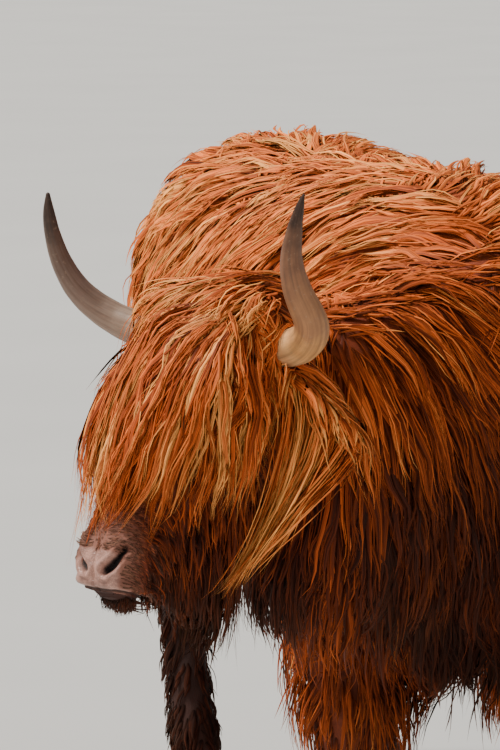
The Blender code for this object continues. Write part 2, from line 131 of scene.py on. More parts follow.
def spline(a, b, c, d, t):
    """From b to c as t goes from 0 to 1, on a Catmull-Rom curve through all four."""
    return 0.5 * (2 * b + (c - a) * t + (2 * a - 5 * b + 4 * c - d) * t ** 2
                  + (3 * b - a - 3 * c + d) * t ** 3)


def blended_rows(rows, steps):
    """The rows with steps - 1 more between each pair, on a smooth course."""
    rows = np.array(rows, float)
    out = []
    for i in range(len(rows) - 1):
        a, b, c, d = (rows[min(max(k, 0), len(rows) - 1)] for k in (i - 1, i, i + 1, i + 2))
        out += [spline(a, b, c, d, step / steps) for step in range(steps)]
    return np.array(out + [rows[-1]])


def distance_along(courses):
    """How far along its course each point lies, for many courses of equal length."""
    pieces = np.linalg.norm(np.diff(courses, axis=1), axis=2)
    return np.concatenate([np.zeros((len(courses), 1)), np.cumsum(pieces, axis=1)], 1)


def new_object(name, mesh, material=None, slot=None):
    """The mesh in the scene; with a slot, as a piece of the looks that rides on the root."""
    obj = bpy.data.objects.new(name, mesh)
    bpy.context.scene.collection.objects.link(obj)
    if material is not None:
        obj.data.materials.append(material)
    if slot is not None:
        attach(obj, "root")
    return obj


def shade_smooth(mesh):
    mesh.polygons.foreach_set("use_smooth", np.ones(len(mesh.polygons), bool))
    mesh.update()


def coordinates(mesh):
    """The vertices' places, as rows."""
    out = np.empty(len(mesh.vertices) * 3)
    mesh.vertices.foreach_get("co", out)
    return out.reshape(-1, 3)


def set_coordinates(mesh, points):
    mesh.vertices.foreach_set("co", np.ascontiguousarray(points, float).ravel())
    mesh.update()


def vertex_normals(mesh):
    out = np.empty(len(mesh.vertices) * 3)
    mesh.vertex_normals.foreach_get("vector", out)
    return out.reshape(-1, 3)


def oval_ring(centre, side, up, width, rise, drop, power, lean=np.zeros(3), points=40):
    """A ring so wide to each side, rising and dropping so far; power 2 is an ellipse, more is squarer."""
    angle = TURN * np.arange(points) / points
    c, s = np.cos(angle), np.sin(angle)
    across = np.sign(c) * np.abs(c) ** (2 / power) * width
    height = np.sign(s) * np.abs(s) ** (2 / power) * np.where(s > 0, rise, drop)
    return centre + across[:, None] * side + height[:, None] * (up + lean)


def mesh_from(bm, name):
    """The bmesh as a mesh of its own."""
    mesh = bpy.data.meshes.new(name)
    bm.to_mesh(mesh)
    bm.free()
    return mesh


def outward(points, faces):
    """A mesh of those points and faces with its normals out."""
    mesh = bpy.data.meshes.new("shape")
    mesh.from_pydata([tuple(p) for p in points], [], faces)
    face_out(mesh)
    return mesh


def face_out(mesh):
    """Turn the normals of the mesh's faces out."""
    bm = bmesh.new()
    bm.from_mesh(mesh)
    bmesh.ops.recalc_face_normals(bm, faces=bm.faces)
    bm.to_mesh(mesh)
    bm.free()


def ring_faces(first, second, around):
    """Quads between two rings of points, numbered from first and from second."""
    return [(first + k, first + (k + 1) % around, second + (k + 1) % around, second + k)
            for k in range(around)]


def loft(rings):
    """A closed mesh through equal rings, with a fan at each end."""
    rings = np.array(rings)
    count, around = rings.shape[:2]
    points = np.vstack([rings.reshape(-1, 3), rings[0].mean(0), rings[-1].mean(0)])
    faces = []
    for i in range(count - 1):
        faces += ring_faces(i * around, (i + 1) * around, around)
    first, last = count * around, count * around + 1
    for k in range(around):
        n = (k + 1) % around
        faces.append((n, k, first))
        faces.append((last - 1 - around + k, last - 1 - around + n, last))
    return outward(points, faces)


def tube(rows, side_hint, power=2.0, points=20):
    """A loft along rows of (x, y, z, half width, half depth)."""
    rows = np.array(rows)
    course = rows[:, :3]
    along = unit(np.gradient(course, axis=0))
    side = unit(side_hint - along * (along @ side_hint)[:, None])
    up = np.cross(along, side)
    return loft([oval_ring(course[i], side[i], up[i], width, depth, depth, power, points=points)
                 for i, (width, depth) in enumerate(rows[:, 3:])])


def ball(radius, fineness):
    bm = bmesh.new()
    bmesh.ops.create_icosphere(bm, subdivisions=fineness, radius=radius)
    return mesh_from(bm, "ball")


def ellipsoid(centre, axes, radii, fineness=4):
    mesh = ball(1.0, fineness)
    set_coordinates(mesh, centre + coordinates(mesh) * np.array(radii) @ np.array(axes))
    return mesh


def joined(meshes):
    """One mesh of them all, with its normals out."""
    bm = bmesh.new()
    for mesh in meshes:
        bm.from_mesh(mesh)
    bmesh.ops.recalc_face_normals(bm, faces=bm.faces)
    return mesh_from(bm, "joined")


def melted(mesh, voxel, smoothing):
    """One closed mesh round the given one, by voxel remesh, smoothed."""
    obj = new_object("melting", mesh)
    remesh = obj.modifiers.new("Melt", "REMESH")
    remesh.mode = "VOXEL"
    remesh.voxel_size = voxel
    soften = obj.modifiers.new("Soften", "SMOOTH")
    soften.iterations = smoothing
    soften.factor = 0.5
    made = bpy.data.meshes.new_from_object(obj.evaluated_get(bpy.context.evaluated_depsgraph_get()))
    bpy.data.objects.remove(obj)
    return made


class Surface:
    """A mesh to find nearest places on, and to scatter random places over."""

    def __init__(self, mesh):
        mesh.calc_loop_triangles()
        points = coordinates(mesh)
        corners = np.empty(len(mesh.loop_triangles) * 3, int)
        mesh.loop_triangles.foreach_get("vertices", corners)
        self.points, self.corners = points, corners.reshape(-1, 3)
        self.tree = BVHTree.FromPolygons(points.tolist(), self.corners.tolist())
        self.normals = unit(vertex_normals(mesh)[self.corners].mean(1))
        edge_a = points[self.corners[:, 1]] - points[self.corners[:, 0]]
        edge_b = points[self.corners[:, 2]] - points[self.corners[:, 0]]
        self.areas = 0.5 * np.linalg.norm(np.cross(edge_a, edge_b), axis=1)
        self.centres = points[self.corners].mean(1)

    def nearest(self, points):
        """(places on the surface, the faces' smoothed normals there, signed distances out)"""
        find = self.tree.find_nearest
        hits = [find(p) for p in points.tolist()]
        places = np.array([h[0][:] for h in hits])
        normals = self.normals[np.array([h[2] for h in hits])]
        gap = points - places
        distance = np.linalg.norm(gap, axis=1) * np.where((gap * normals).sum(1) < 0, -1.0, 1.0)
        return places, normals, distance

    def scatter(self, weights, count, rng):
        """Random places on the surface and their normals; a face's area times its weight is its odds."""
        odds = self.areas * weights
        faces = rng.choice(len(odds), count, p=odds / odds.sum())
        a, b = rng.random(count), rng.random(count)
        flip = a + b > 1
        a[flip], b[flip] = 1 - a[flip], 1 - b[flip]
        p, q, r = (self.points[self.corners[faces, k]] for k in range(3))
        return p + (q - p) * a[:, None] + (r - p) * b[:, None], self.normals[faces]


# ---------------------------------------------------------------- materials

class Nodes:
    """Short names for building a material's node tree."""

    def __init__(self, name):
        self.material = bpy.data.materials.new(name)
        self.material.use_nodes = True
        self.tree = self.material.node_tree
        self.shader = self.tree.nodes["Principled BSDF"]

    def add(self, kind, inputs=None, **settings):
        node = self.tree.nodes.new("ShaderNode" + kind)
        for key, value in settings.items():
            setattr(node, key, value)
        for key, value in (inputs or {}).items():
            if isinstance(value, bpy.types.NodeSocket):
                self.tree.links.new(value, node.inputs[key])
            else:
                node.inputs[key].default_value = value
        return node

    def math(self, operation, a, b, clamp=False):
        return self.add("Math", {0: a, 1: b}, operation=operation, use_clamp=clamp).outputs[0]

    def plus(self, a, b, clamp=False):
        return self.math("ADD", a, b, clamp)

    def minus(self, a, b, clamp=False):
        return self.math("SUBTRACT", a, b, clamp)

    def times(self, a, b):
        return self.math("MULTIPLY", a, b)

    def mix(self, factor, a, b, blend="MIX"):
        """Colour a, going to b with the factor, or as the blend says."""
        node = self.add("Mix", data_type="RGBA", blend_type=blend)
        for index, value in ((0, factor), (6, a), (7, b)):
            if isinstance(value, bpy.types.NodeSocket):
                self.tree.links.new(value, node.inputs[index])
            else:
                node.inputs[index].default_value = (*value, 1.0) if isinstance(value, tuple) else value
        return node.outputs[2]

    def ramp(self, factor, *stops):
        """A grey or coloured ramp: (place, value or colour), ..."""
        node = self.add("ValToRGB", {0: factor})
        while len(node.color_ramp.elements) < len(stops):
            node.color_ramp.elements.new(0.5)
        for element, (place, value) in zip(node.color_ramp.elements, stops):
            element.position = place
            element.color = (*value, 1.0) if isinstance(value, tuple) else (value,) * 3 + (1.0,)
        return node.outputs[0]

    def noise(self, scale, detail, vector, roughness=0.55):
        inputs = {"Scale": scale, "Detail": detail, "Roughness": roughness, "Vector": vector}
        return self.add("TexNoise", inputs).outputs["Fac"]

    def place(self):
        return self.add("TexCoord").outputs["Object"]

    def attribute(self, name, output="Color"):
        return self.add("Attribute", attribute_name=name).outputs[output]

    def split(self, colour):
        """The three parts of a colour."""
        return self.add("SeparateColor", {0: colour}).outputs[:3]

    def strand(self):
        """(across, along) on the map that runs along each lock or horn."""
        flat = self.add("SeparateXYZ", {0: self.add("UVMap", uv_map="Strand").outputs[0]}).outputs
        return flat[0], flat[1]

    def vector(self, x, y=0.0, z=0.0):
        return self.add("CombineXYZ", {0: x, 1: y, 2: z}).outputs[0]

    def set(self, **inputs):
        for key, value in inputs.items():
            socket = self.shader.inputs[key.replace("_", " ")]
            if isinstance(value, bpy.types.NodeSocket):
                self.tree.links.new(value, socket)
            else:
                socket.default_value = value

    def bump(self, height, strength, distance):
        node = self.add("Bump", {"Height": height, "Strength": strength, "Distance": distance})
        self.tree.links.new(node.outputs[0], self.shader.inputs["Normal"])


# The coat's colours, from the shadows of a lock to its palest hairs, then those of the dark parts; the dark
# brown also serves as painted shade under the jaw and on the neck's near side.
RED_DARK = (0.066, 0.0080, 0.0020)
RED = (0.235, 0.036, 0.0062)
ORANGE = (0.60, 0.104, 0.015)
GOLD = (0.98, 0.230, 0.045)
STRAW = (1.00, 0.405, 0.105)
BROWN = (0.023, 0.0062, 0.0030)
GREY_BROWN = (0.190, 0.098, 0.064)


def hair_colour(n, marks, along, brown=BROWN):
    """The coat's colour from (gold, dark, chance), its own colour with painted light and painted shade mixed
    in, and the way along a lock.
    """
    gold, dark, chance = n.split(marks)
    tone = n.plus(chance, n.times(n.minus(gold, 0.35), 0.55))
    tone = n.plus(tone, n.times(n.minus(along, 0.55), 0.30), clamp=True)
    red = n.ramp(tone, (0.05, RED_DARK), (0.34, RED), (0.60, ORANGE), (0.86, GOLD), (1.0, STRAW))
    return n.mix(dark, red, brown)


def coat_material(name="coat", brown=BROWN):
    """Hair: streaks and broader bands along each lock, darker at its root, partly its own colour and partly
    painted shade among the locks.
    """
    n = Nodes(name)
    marks = n.attribute("Marks")
    across, along = n.strand()
    seed = n.times(n.split(marks)[2], 57.0)
    hairs = n.noise(1.0, 2.0, n.vector(n.times(across, 13.0), n.times(along, 1.3), seed))
    broad = n.noise(1.0, 1.0, n.vector(n.times(across, 4.4), n.times(along, 0.9), seed))
    colour = hair_colour(n, marks, n.plus(along, n.times(n.minus(broad, 0.5), 1.9)), brown)
    streaks = n.times(n.ramp(hairs, (0.32, 0.55), (0.68, 1.38)), n.ramp(broad, (0.36, 0.52), (0.62, 1.34)))
    # Darker towards each lock's root: partly the hair's own colour, partly painted shade under the covering
    # locks.
    shade = n.times(streaks, n.ramp(along, (0.0, 0.42), (0.28, 1.0)))
    n.set(Base_Color=n.mix(1.0, colour, shade, "MULTIPLY"), Roughness=0.55, Specular_IOR_Level=0.10,
          Sheen_Weight=0.06, Sheen_Roughness=0.5, Sheen_Tint=(1.0, 0.55, 0.30, 1.0))
    n.bump(n.plus(hairs, broad), 0.6, 0.0008)
    return n.material


PINK_SKIN = (0.36, 0.195, 0.145)
# The bare nose, its dark spots, and painted shade in the furrows between its cells.
NOSE, NOSE_SPOTS, NOSE_FURROWS = (0.62, 0.330, 0.255), (0.33, 0.165, 0.125), (0.25, 0.13, 0.105)
# Near black: painted shade inside the nostrils and along the mouth line; it also makes the dark rims of the
# eyelids.
HOLLOW = (0.010, 0.005, 0.004)


def skin_material():
    """Short fur in the coat's colours, with the bare nose, the nostrils and mouth line painted near black as
    shade, and the pink skin.
    """
    n = Nodes("skin")
    place = n.place()
    fur = n.noise(1.0, 3.0, n.attribute("Lay", "Vector"), 0.6)
    tufts = n.plus(n.times(n.noise(38.0, 3.0, place), 0.6), n.times(fur, 0.9))
    coat = hair_colour(n, n.attribute("Marks"), tufts)
    pad, hole, pink = n.split(n.attribute("Bare"))
    cells = n.add("TexVoronoi", {"Vector": place, "Scale": 300.0}, feature="DISTANCE_TO_EDGE")
    furrow = cells.outputs["Distance"]
    spots = n.ramp(n.noise(48.0, 5.0, place, 0.62), (0.42, 0.0), (0.66, 1.0))
    nose = n.mix(spots, NOSE, NOSE_SPOTS)
    # Painted shade in the furrows between the nose's cells.
    nose = n.mix(n.ramp(furrow, (0.0, 0.55), (0.08, 0.0)), nose, NOSE_FURROWS)
    colour = n.mix(pink, coat, PINK_SKIN)
    colour = n.mix(pad, colour, nose)
    colour = n.mix(hole, colour, HOLLOW)
    n.set(Base_Color=colour, Roughness=n.mix(pad, (0.75,) * 3, (0.36,) * 3), Specular_IOR_Level=0.4)
    bumps = n.times(n.ramp(furrow, (0.0, 0.0), (0.16, 1.0)), pad)
    hairs = n.plus(n.times(n.noise(260.0, 4.0, place), 0.3), n.times(fur, 0.9))
    n.bump(n.plus(bumps, hairs), 0.55, 0.0014)
    return n.material


# Each horn's colours from its root (0) to its tip (1).
HORN_TINTS = {
    "left": [(0.0, (0.88, 0.52, 0.24)), (0.20, (0.78, 0.40, 0.150)), (0.36, (0.50, 0.230, 0.100)),
             (0.64, (0.27, 0.122, 0.064)), (0.92, (0.036, 0.018, 0.013))],
    "right": [(0.0, (0.46, 0.33, 0.235)), (0.26, (0.36, 0.255, 0.190)), (0.50, (0.29, 0.200, 0.155)),
              (0.74, (0.165, 0.108, 0.082)), (0.94, (0.042, 0.028, 0.023))],
}
HORN_STREAKS, HORN_CHIPS = (0.135, 0.072, 0.045), (0.42, 0.30, 0.20)


def horn_material(side):
    """Horn with dark streaks along it, pale chips and low rings near the root."""
    n = Nodes(f"horn_{side}")
    around, along = n.strand()
    place = n.place()
    streaks = n.noise(1.0, 5.0, n.vector(n.times(around, 22.0), n.times(along, 2.2)))
    patches = n.noise(34.0, 5.0, place, 0.6)
    body = n.ramp(n.plus(along, n.times(n.minus(patches, 0.5), 0.40)), *HORN_TINTS[side])
    colour = n.mix(n.ramp(streaks, (0.42, 0.0), (0.68, 0.65)), body, HORN_STREAKS)
    chips = n.noise(150.0, 4.0, place, 0.7)
    colour = n.mix(n.ramp(chips, (0.60, 0.0), (0.74, 0.5)), colour, HORN_CHIPS)
    n.set(Base_Color=colour, Roughness=0.50, Specular_IOR_Level=0.25)
    ring_place = n.vector(n.plus(along, n.times(patches, 0.05)))
    rings = n.add("TexWave", {"Vector": ring_place, "Scale": 3.2, "Distortion": 0.6, "Detail": 2.0})
    fade = n.times(rings.outputs["Fac"], n.minus(1.0, along, clamp=True))
    n.bump(n.plus(n.times(fade, 0.7), n.times(streaks, 0.5)), 0.5, 0.0016)
    return n.material


def hoof_material():
    """Dark grained horn, dusty at the ground."""
    n = Nodes("hoof")
    place = n.place()
    stretched = n.add("VectorMath", {0: place, 1: (1.0, 1.0, 0.25)}, operation="MULTIPLY").outputs[0]
    grain = n.noise(160.0, 4.0, stretched)
    colour = n.ramp(grain, (0.30, (0.035, 0.026, 0.021)), (0.70, (0.115, 0.085, 0.064)))
    height = n.add("SeparateXYZ", {0: place}).outputs[2]
    dust = n.ramp(n.plus(n.times(height, 14.0), n.times(grain, 0.5)), (0.30, 0.7), (0.62, 0.0))
    n.set(Base_Color=n.mix(dust, colour, (0.17, 0.125, 0.085)), Roughness=0.55)
    n.bump(grain, 0.5, 0.0015)
    return n.material


def eye_material():
    """A brown iris with a dark pupil, under a clear wet layer."""
    n = Nodes("eye")
    iris_share, pupil_share, _ = n.split(n.attribute("Eye"))
    streaks = n.noise(420.0, 3.0, n.place())
    iris = n.mix(streaks, (0.035, 0.014, 0.006), (0.090, 0.040, 0.016))
    colour = n.mix(iris_share, (0.55, 0.42, 0.36), iris)
    colour = n.mix(pupil_share, colour, (0.004, 0.004, 0.006))
    n.set(Base_Color=colour, Roughness=0.06, Specular_IOR_Level=0.5, Coat_Weight=1.0, Coat_Roughness=0.03)
    return n.material


def floor_material():
    n = Nodes("floor")
    soft = n.noise(1.2, 2.0, n.place())
    colour = n.mix(soft, (0.60, 0.60, 0.585), (0.66, 0.66, 0.645))
    n.set(Base_Color=colour, Roughness=0.9, Specular_IOR_Level=0.1)
    return n.material


# ---------------------------------------------------------------- the coat's own colour, painted light and painted shade

def mouth_height(ahead):
    """How high the mouth line runs, for how far forward of the poll: lowest at its corner."""
    return -0.352 - 0.27 * np.clip(0.255 - ahead, 0, 0.2)


def marks_and_painted_light(points):
    """How gold and how dark the coat is at points on the body: (gold, dark), each from 0 to 1; the coat's own
    colour, with painted light on lit parts and painted shade where shade falls.
    """
    x, y, z = (points - WITHERS).T
    a, l, b = head_coordinates(points).T
    ahead = (points - HEAD_ORIGIN) @ FACING
    height = z - HEAD_ORIGIN[2]
    aside = aside_of_neck(points)
    fore = smoothstep(0.20, 0.05, y) * smoothstep(0.12, 0.20, z) * smoothstep(0.50, 0.38, z)
    ears = smoothstep(0.125, 0.155, np.abs(l)) * smoothstep(0.20, 0.10, a) * (np.abs(b) < 0.13)

    # Gold on the top of the back, the crest, the poll, the ears and the upper forelegs: partly the hair's own
    # paler colour, partly painted light.
    wander = 0.5 + 0.25 * np.sin(9 * x + 4 * y) + 0.25 * np.sin(11 * z - 7 * y + 2)
    behind = smoothstep(-0.24, -0.02, y)
    back = smoothstep(0.60, 1.06, z) * (0.72 + 0.30 * wander) * (0.30 + 0.70 * behind)
    near_head = np.exp(-((a - 0.05) / 0.22) ** 2 - (np.maximum(0, -b) / 0.12) ** 2 - (l / 0.30) ** 2)
    poll = (smoothstep(0.03, -0.03, a) * smoothstep(-0.01, 0.03, b) * smoothstep(0.16, 0.10, np.abs(l))
            * (a > -0.2))
    crest = smoothstep(0.0, -0.10, y) * smoothstep(0.12, 0.02, np.abs(aside))
    gold = np.clip(0.06 + back + 0.15 * near_head + 0.36 * fore + 0.34 * ears + 0.56 * poll
                   + 0.22 * crest * smoothstep(0.80, 0.92, z), 0, 1)

    # Dark: the lower legs' own dark brown; at the back of the body it reaches higher, over the hind legs, as
    # painted shade.
    dark = np.where(y > 0.5, 0.92 * smoothstep(0.52, 0.30, z), 0.85 * smoothstep(0.30, 0.13, z))
    chin = smoothstep(0.18, 0.21, ahead) * (height < mouth_height(ahead)) * (np.abs(l) < 0.12)
    under_head = np.abs(l) < 0.13
    # Painted shade under the jaw.
    jaw = smoothstep(-0.05, -0.13, b) * smoothstep(0.0, 0.10, a) * under_head * 0.30
    jaw += 0.50 * smoothstep(-0.21, -0.32, height) * under_head * (ahead < 0.20) * (ahead > -0.12)
    # Painted shade on the near side of the neck, kept off the ears.
    on_neck = smoothstep(0.06, -0.10, y) * smoothstep(-0.02, 0.06, aside)
    shade = on_neck * smoothstep(0.99, 0.78, z) * smoothstep(0.36, 0.46, z) * (1 - ears)
    dark = np.clip(np.maximum(dark, 0.88 * chin) + jaw + 0.76 * shade + 0.14 * fore, 0, 0.93)
    return gold, dark


def uv_layer(mesh, name, places):
    """A map of that name, from a place for each corner of each face."""
    layer = mesh.uv_layers.new(name=name)
    layer.data.foreach_set("uv", np.asarray(places, np.float32).ravel())


def colour_attribute(mesh, name, values):
    """A float colour per vertex, from rows of three."""
    layer = mesh.color_attributes.new(name, "FLOAT_COLOR", "POINT")
    layer.data.foreach_set("color", np.hstack([values, np.ones((len(values), 1))]).astype(np.float32).ravel())


# ---------------------------------------------------------------- skin

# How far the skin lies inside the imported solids, for the names that start so.
COAT_DEPTHS = {("foreshank", "shank"): 0.017, ("foreleg", "thigh"): 0.030, ("neck",): 0.042, ("tail",): 0.016}
TRUNK_DEPTH = 0.036


def coat_depth(points, names):
    """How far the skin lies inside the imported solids, at points whose nearest node is in names."""
    rel = points - WITHERS
    depth = np.full(len(points), TRUNK_DEPTH)
    for starts, value in COAT_DEPTHS.items():
        depth[[name.startswith(starts) for name in names]] = value
    low = smoothstep(0.60, 0.44, rel[:, 2]) * smoothstep(0.95, 0.60, rel[:, 1])
    trunkish = np.array([name in ("trunk", "neck") for name in names])
    depth += np.where(trunkish, 0.035 * low, 0.0)
    return depth


def frame_meshes(names):
    """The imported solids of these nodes, each swollen a little so that neighbours overlap."""
    swell = 0.0012
    meshes = []
    for name in names:
        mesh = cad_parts[name].data.copy()
        set_coordinates(mesh, coordinates(mesh) + vertex_normals(mesh) * swell)
        meshes.append(mesh)
    return meshes


def node_finder(names):
    """A function that says, for each of some places, which of these nodes is nearest."""
    points, faces, owner = [], [], []
    for name in names:
        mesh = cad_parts[name].data
        mesh.calc_loop_triangles()
        base = len(points)
        points += coordinates(mesh).tolist()
        for tri in mesh.loop_triangles:
            faces.append([base + v for v in tri.vertices])
            owner.append(name)
    tree = BVHTree.FromPolygons(points, faces)
    return lambda where: [owner[tree.find_nearest(p)[2]] for p in where.tolist()]


def body_core():
    """Trunk, neck, legs and tail, drawn in by the coat's depth."""
    names = [n for n in FLESH if n not in ("head", "udder") and not n.startswith("ear")]
    mesh = melted(joined(frame_meshes(names)), BODY_VOXEL, 4)
    find = node_finder(names)
    rounds = 2
    for _ in range(rounds):
        points = coordinates(mesh)
        depth = coat_depth(points, find(points))
        points = points - vertex_normals(mesh) * (depth / rounds)[:, None]
        points[:, 2] = np.maximum(points[:, 2], SKIN_END)
        set_coordinates(mesh, points)
        mesh = melted(mesh, DRAWN_IN_VOXEL, 2)
    return mesh


def head_core():
    """The shapes of the bare head: a loft down the face, and rounds over its bones and flesh."""
    # (along, half width, rise to the brow, drop to the jaw, how far the lower side leads)
    rows = [
        (-0.075, 0.040, 0.028, 0.040, 0.0), (-0.050, 0.080, 0.050, 0.085, 0.0),
        (0.000, 0.094, 0.060, 0.130, 0.0), (0.060, 0.100, 0.060, 0.166, 0.0),
        (0.125, 0.094, 0.055, 0.176, 0.0), (0.190, 0.080, 0.048, 0.160, 0.05),
        (0.250, 0.066, 0.041, 0.132, 0.20), (0.300, 0.057, 0.035, 0.108, 0.45),
        (0.340, 0.053, 0.031, 0.085, 0.70), (0.370, 0.053, 0.028, 0.066, 0.90),
        (0.395, 0.051, 0.025, 0.050, 1.0), (0.412, 0.046, 0.021, 0.038, 1.05),
        (0.421, 0.036, 0.015, 0.026, 1.05), (0.424, 0.016, 0.007, 0.012, 1.05)]
    rings = [oval_ring(on_head(a, 0, 0), HEAD_LEFT, BROW, w, rise, drop, 2.5, -FACE_DOWN * lead)
             for a, w, rise, drop, lead in blended_rows(rows, 3)]

    def tilted(centre, radii):
        """A round that lies along the face."""
        return ellipsoid(on_head(*centre), HEAD_AXES, radii)

    def level(centre, radii):
        """A round that lies along the ground."""
        return ellipsoid(ahead_of_poll(*centre), np.array([FACING, HEAD_LEFT, -DOWN]), radii)

    meshes = [loft(rings)]
    for side in SIDES.values():
        orbit = tilted((0.120, side * 0.082, 0.016), (0.044, 0.034, 0.036))
        cheek = tilted((0.085, side * 0.058, -0.100), (0.085, 0.046, 0.078))
        nostril_wing = level((0.228, side * 0.034, -0.300), (0.030, 0.022, 0.026))
        upper_lip = level((0.225, side * 0.030, -0.342), (0.038, 0.026, 0.019))
        horn_root = tilted((-0.005, side * 0.072, 0.016), (0.042, 0.052, 0.040))
        meshes += [orbit, cheek, nostril_wing, upper_lip, horn_root]
    chin = level((0.190, 0, -0.358), (0.048, 0.036, 0.019))
    jaw = level((0.060, 0, -0.300), (0.090, 0.046, 0.070))
    skull = tilted((-0.035, 0, -0.045), (0.090, 0.085, 0.085))
    return meshes + [chin, jaw, skull]


def ear_core(side):
    """A leaf-shaped ear, cupped to the front."""
    root = on_head(0.020, side * 0.085, -0.030)
    way = unit(HEAD_LEFT * side * 0.90 - FACING * 0.15 + DOWN * 0.38)
    # (along, half width, half thickness)
    rows = [(-0.02, 0.020, 0.018), (0.02, 0.024, 0.017), (0.06, 0.038, 0.013),
            (0.10, 0.044, 0.0105), (0.14, 0.034, 0.0095), (0.165, 0.018, 0.0085), (0.178, 0.007, 0.006)]
    path = []
    for along, width, depth in blended_rows(rows, 3):
        path.append((*(root + way * along + DOWN * 1.1 * max(along, 0) ** 2), width, depth))
    return tube(path, FACING + np.array([0, 0, 0.5]))


def udder_core():
    """A small round with four teats."""
    base = WITHERS + np.array([0, 0.735, 0.455])
    meshes = [ellipsoid(base, np.eye(3), (0.090, 0.100, 0.076))]
    for across in (-0.042, 0.042):
        for along in (-0.040, 0.042):
            rows = [(across, along, -0.035, 0.0135, 0.0135), (across * 1.08, along, -0.095, 0.0105, 0.0105),
                    (across * 1.10, along, -0.118, 0.0065, 0.0065)]
            rows = blended_rows(rows, 3)
            rows[:, :3] += base
            meshes.append(tube(rows, np.array([1.0, 0, 0])))
    return meshes


def refined(mesh, region, cuts):
    """The mesh with the edges of the faces inside region divided."""
    bm = bmesh.new()
    bm.from_mesh(mesh)
    bm.faces.ensure_lookup_table()
    centres = np.array([f.calc_center_median()[:] for f in bm.faces])
    chosen = np.nonzero(region(centres))[0]
    edges = {e for i in chosen for e in bm.faces[i].edges}
    bmesh.ops.subdivide_edges(bm, edges=list(edges), cuts=cuts, use_grid_fill=True, smooth=0.0)
    return mesh_from(bm, "refined")


def relaxed(mesh, region, rounds):
    """Vertices inside region drawn towards their neighbours' mean."""
    points = coordinates(mesh)
    edges = np.empty(len(mesh.edges) * 2, int)
    mesh.edges.foreach_get("vertices", edges)
    edges = edges.reshape(-1, 2)
    count = np.bincount(edges.ravel(), minlength=len(points))[:, None]
    weight = region(points)[:, None] * 0.5
    for _ in range(rounds):
        total = np.zeros_like(points)
        np.add.at(total, edges[:, 0], points[edges[:, 1]])
        np.add.at(total, edges[:, 1], points[edges[:, 0]])
        points = points + (total / count - points) * weight
    set_coordinates(mesh, points)


def distance_to_course(points, course):
    """Least distance from each point to a polyline."""
    best = np.full(len(points), 1e9)
    for a, b in zip(course, course[1:]):
        t = np.clip(((points - a) @ (b - a)) / ((b - a) @ (b - a)), 0, 1)
        best = np.minimum(best, np.linalg.norm(points - (a + t[:, None] * (b - a)), axis=1))
    return best


# The left nostril's course, ahead of the poll: (forward, left, up).
NOSTRIL = [(0.259, 0.020, -0.3215), (0.252, 0.030, -0.3140), (0.247, 0.038, -0.3030),
           (0.240, 0.0445, -0.2890)]


def sculpt_muzzle(mesh, surface):
    """Nostrils, mouth line, groove of the upper lip, folds round them. Returns the bare-skin mask and the
    mask of painted shade in the nostrils and along the mouth line.
    """
    points, normals = coordinates(mesh), vertex_normals(mesh)
    _, l, b = head_coordinates(points).T
    ahead = (points - HEAD_ORIGIN) @ FACING
    height = points[:, 2] - HEAD_ORIGIN[2]
    move = np.zeros(len(points))
    holes = np.zeros(len(points))
    for side in SIDES.values():
        course = surface.nearest(np.array([ahead_of_poll(h, side * w, v) for h, w, v in NOSTRIL]))[0]
        reach = distance_to_course(points, list(course))
        far = np.linalg.norm(points - course[1], axis=1)
        slot = 0.0050 + 0.0030 * np.exp(-(far / 0.012) ** 2)
        move -= 0.016 * np.exp(-(reach / slot) ** 2)
        move += 0.0034 * np.exp(-((reach - 0.0125) / 0.0048) ** 2) * (height > -0.335)
        # Painted shade inside the nostril.
        holes = np.maximum(holes, smoothstep(1.25, 0.75, reach / slot))

    over_mouth = height - mouth_height(ahead)
    above = over_mouth > 0
    reach_back = smoothstep(0.105, 0.135, ahead) * smoothstep(0.02, -0.01, b)
    move -= 0.0080 * np.exp(-(over_mouth / 0.0042) ** 2) * reach_back
    move += 0.0030 * np.exp(-((over_mouth - 0.012) / 0.007) ** 2) * reach_back
    move -= 0.0150 * smoothstep(-0.001, -0.010, over_mouth) * smoothstep(0.20, 0.245, ahead)
    move -= 0.0020 * np.exp(-(l / 0.0030) ** 2) * smoothstep(0.23, 0.25, ahead) * above
    side_folds = smoothstep(0.16, 0.20, ahead) * smoothstep(0.25, 0.22, ahead) * (np.abs(l) > 0.03)
    move += 0.0010 * np.sin((ahead * 0.9 - height * 0.5) * 520) * side_folds
    set_coordinates(mesh, points + normals * move[:, None])

    pad = smoothstep(0.25, 0.50, normals @ FACING) * smoothstep(0.225, 0.240, ahead)
    pad *= smoothstep(-0.287, -0.296, height + 0.10 * np.abs(l)) * smoothstep(-0.002, 0.003, over_mouth)
    pad *= smoothstep(0.047, 0.041, np.abs(l))
    lips = np.exp(-((over_mouth - 0.004) / 0.005) ** 2) * smoothstep(0.228, 0.246, ahead) * above * 0.8
    # Painted shade along the mouth line.
    gap = 0.9 * np.exp(-(over_mouth / 0.0035) ** 2) * reach_back
    return np.clip(np.maximum(pad, lips), 0, 1), np.clip(np.maximum(holes, gap), 0, 1)


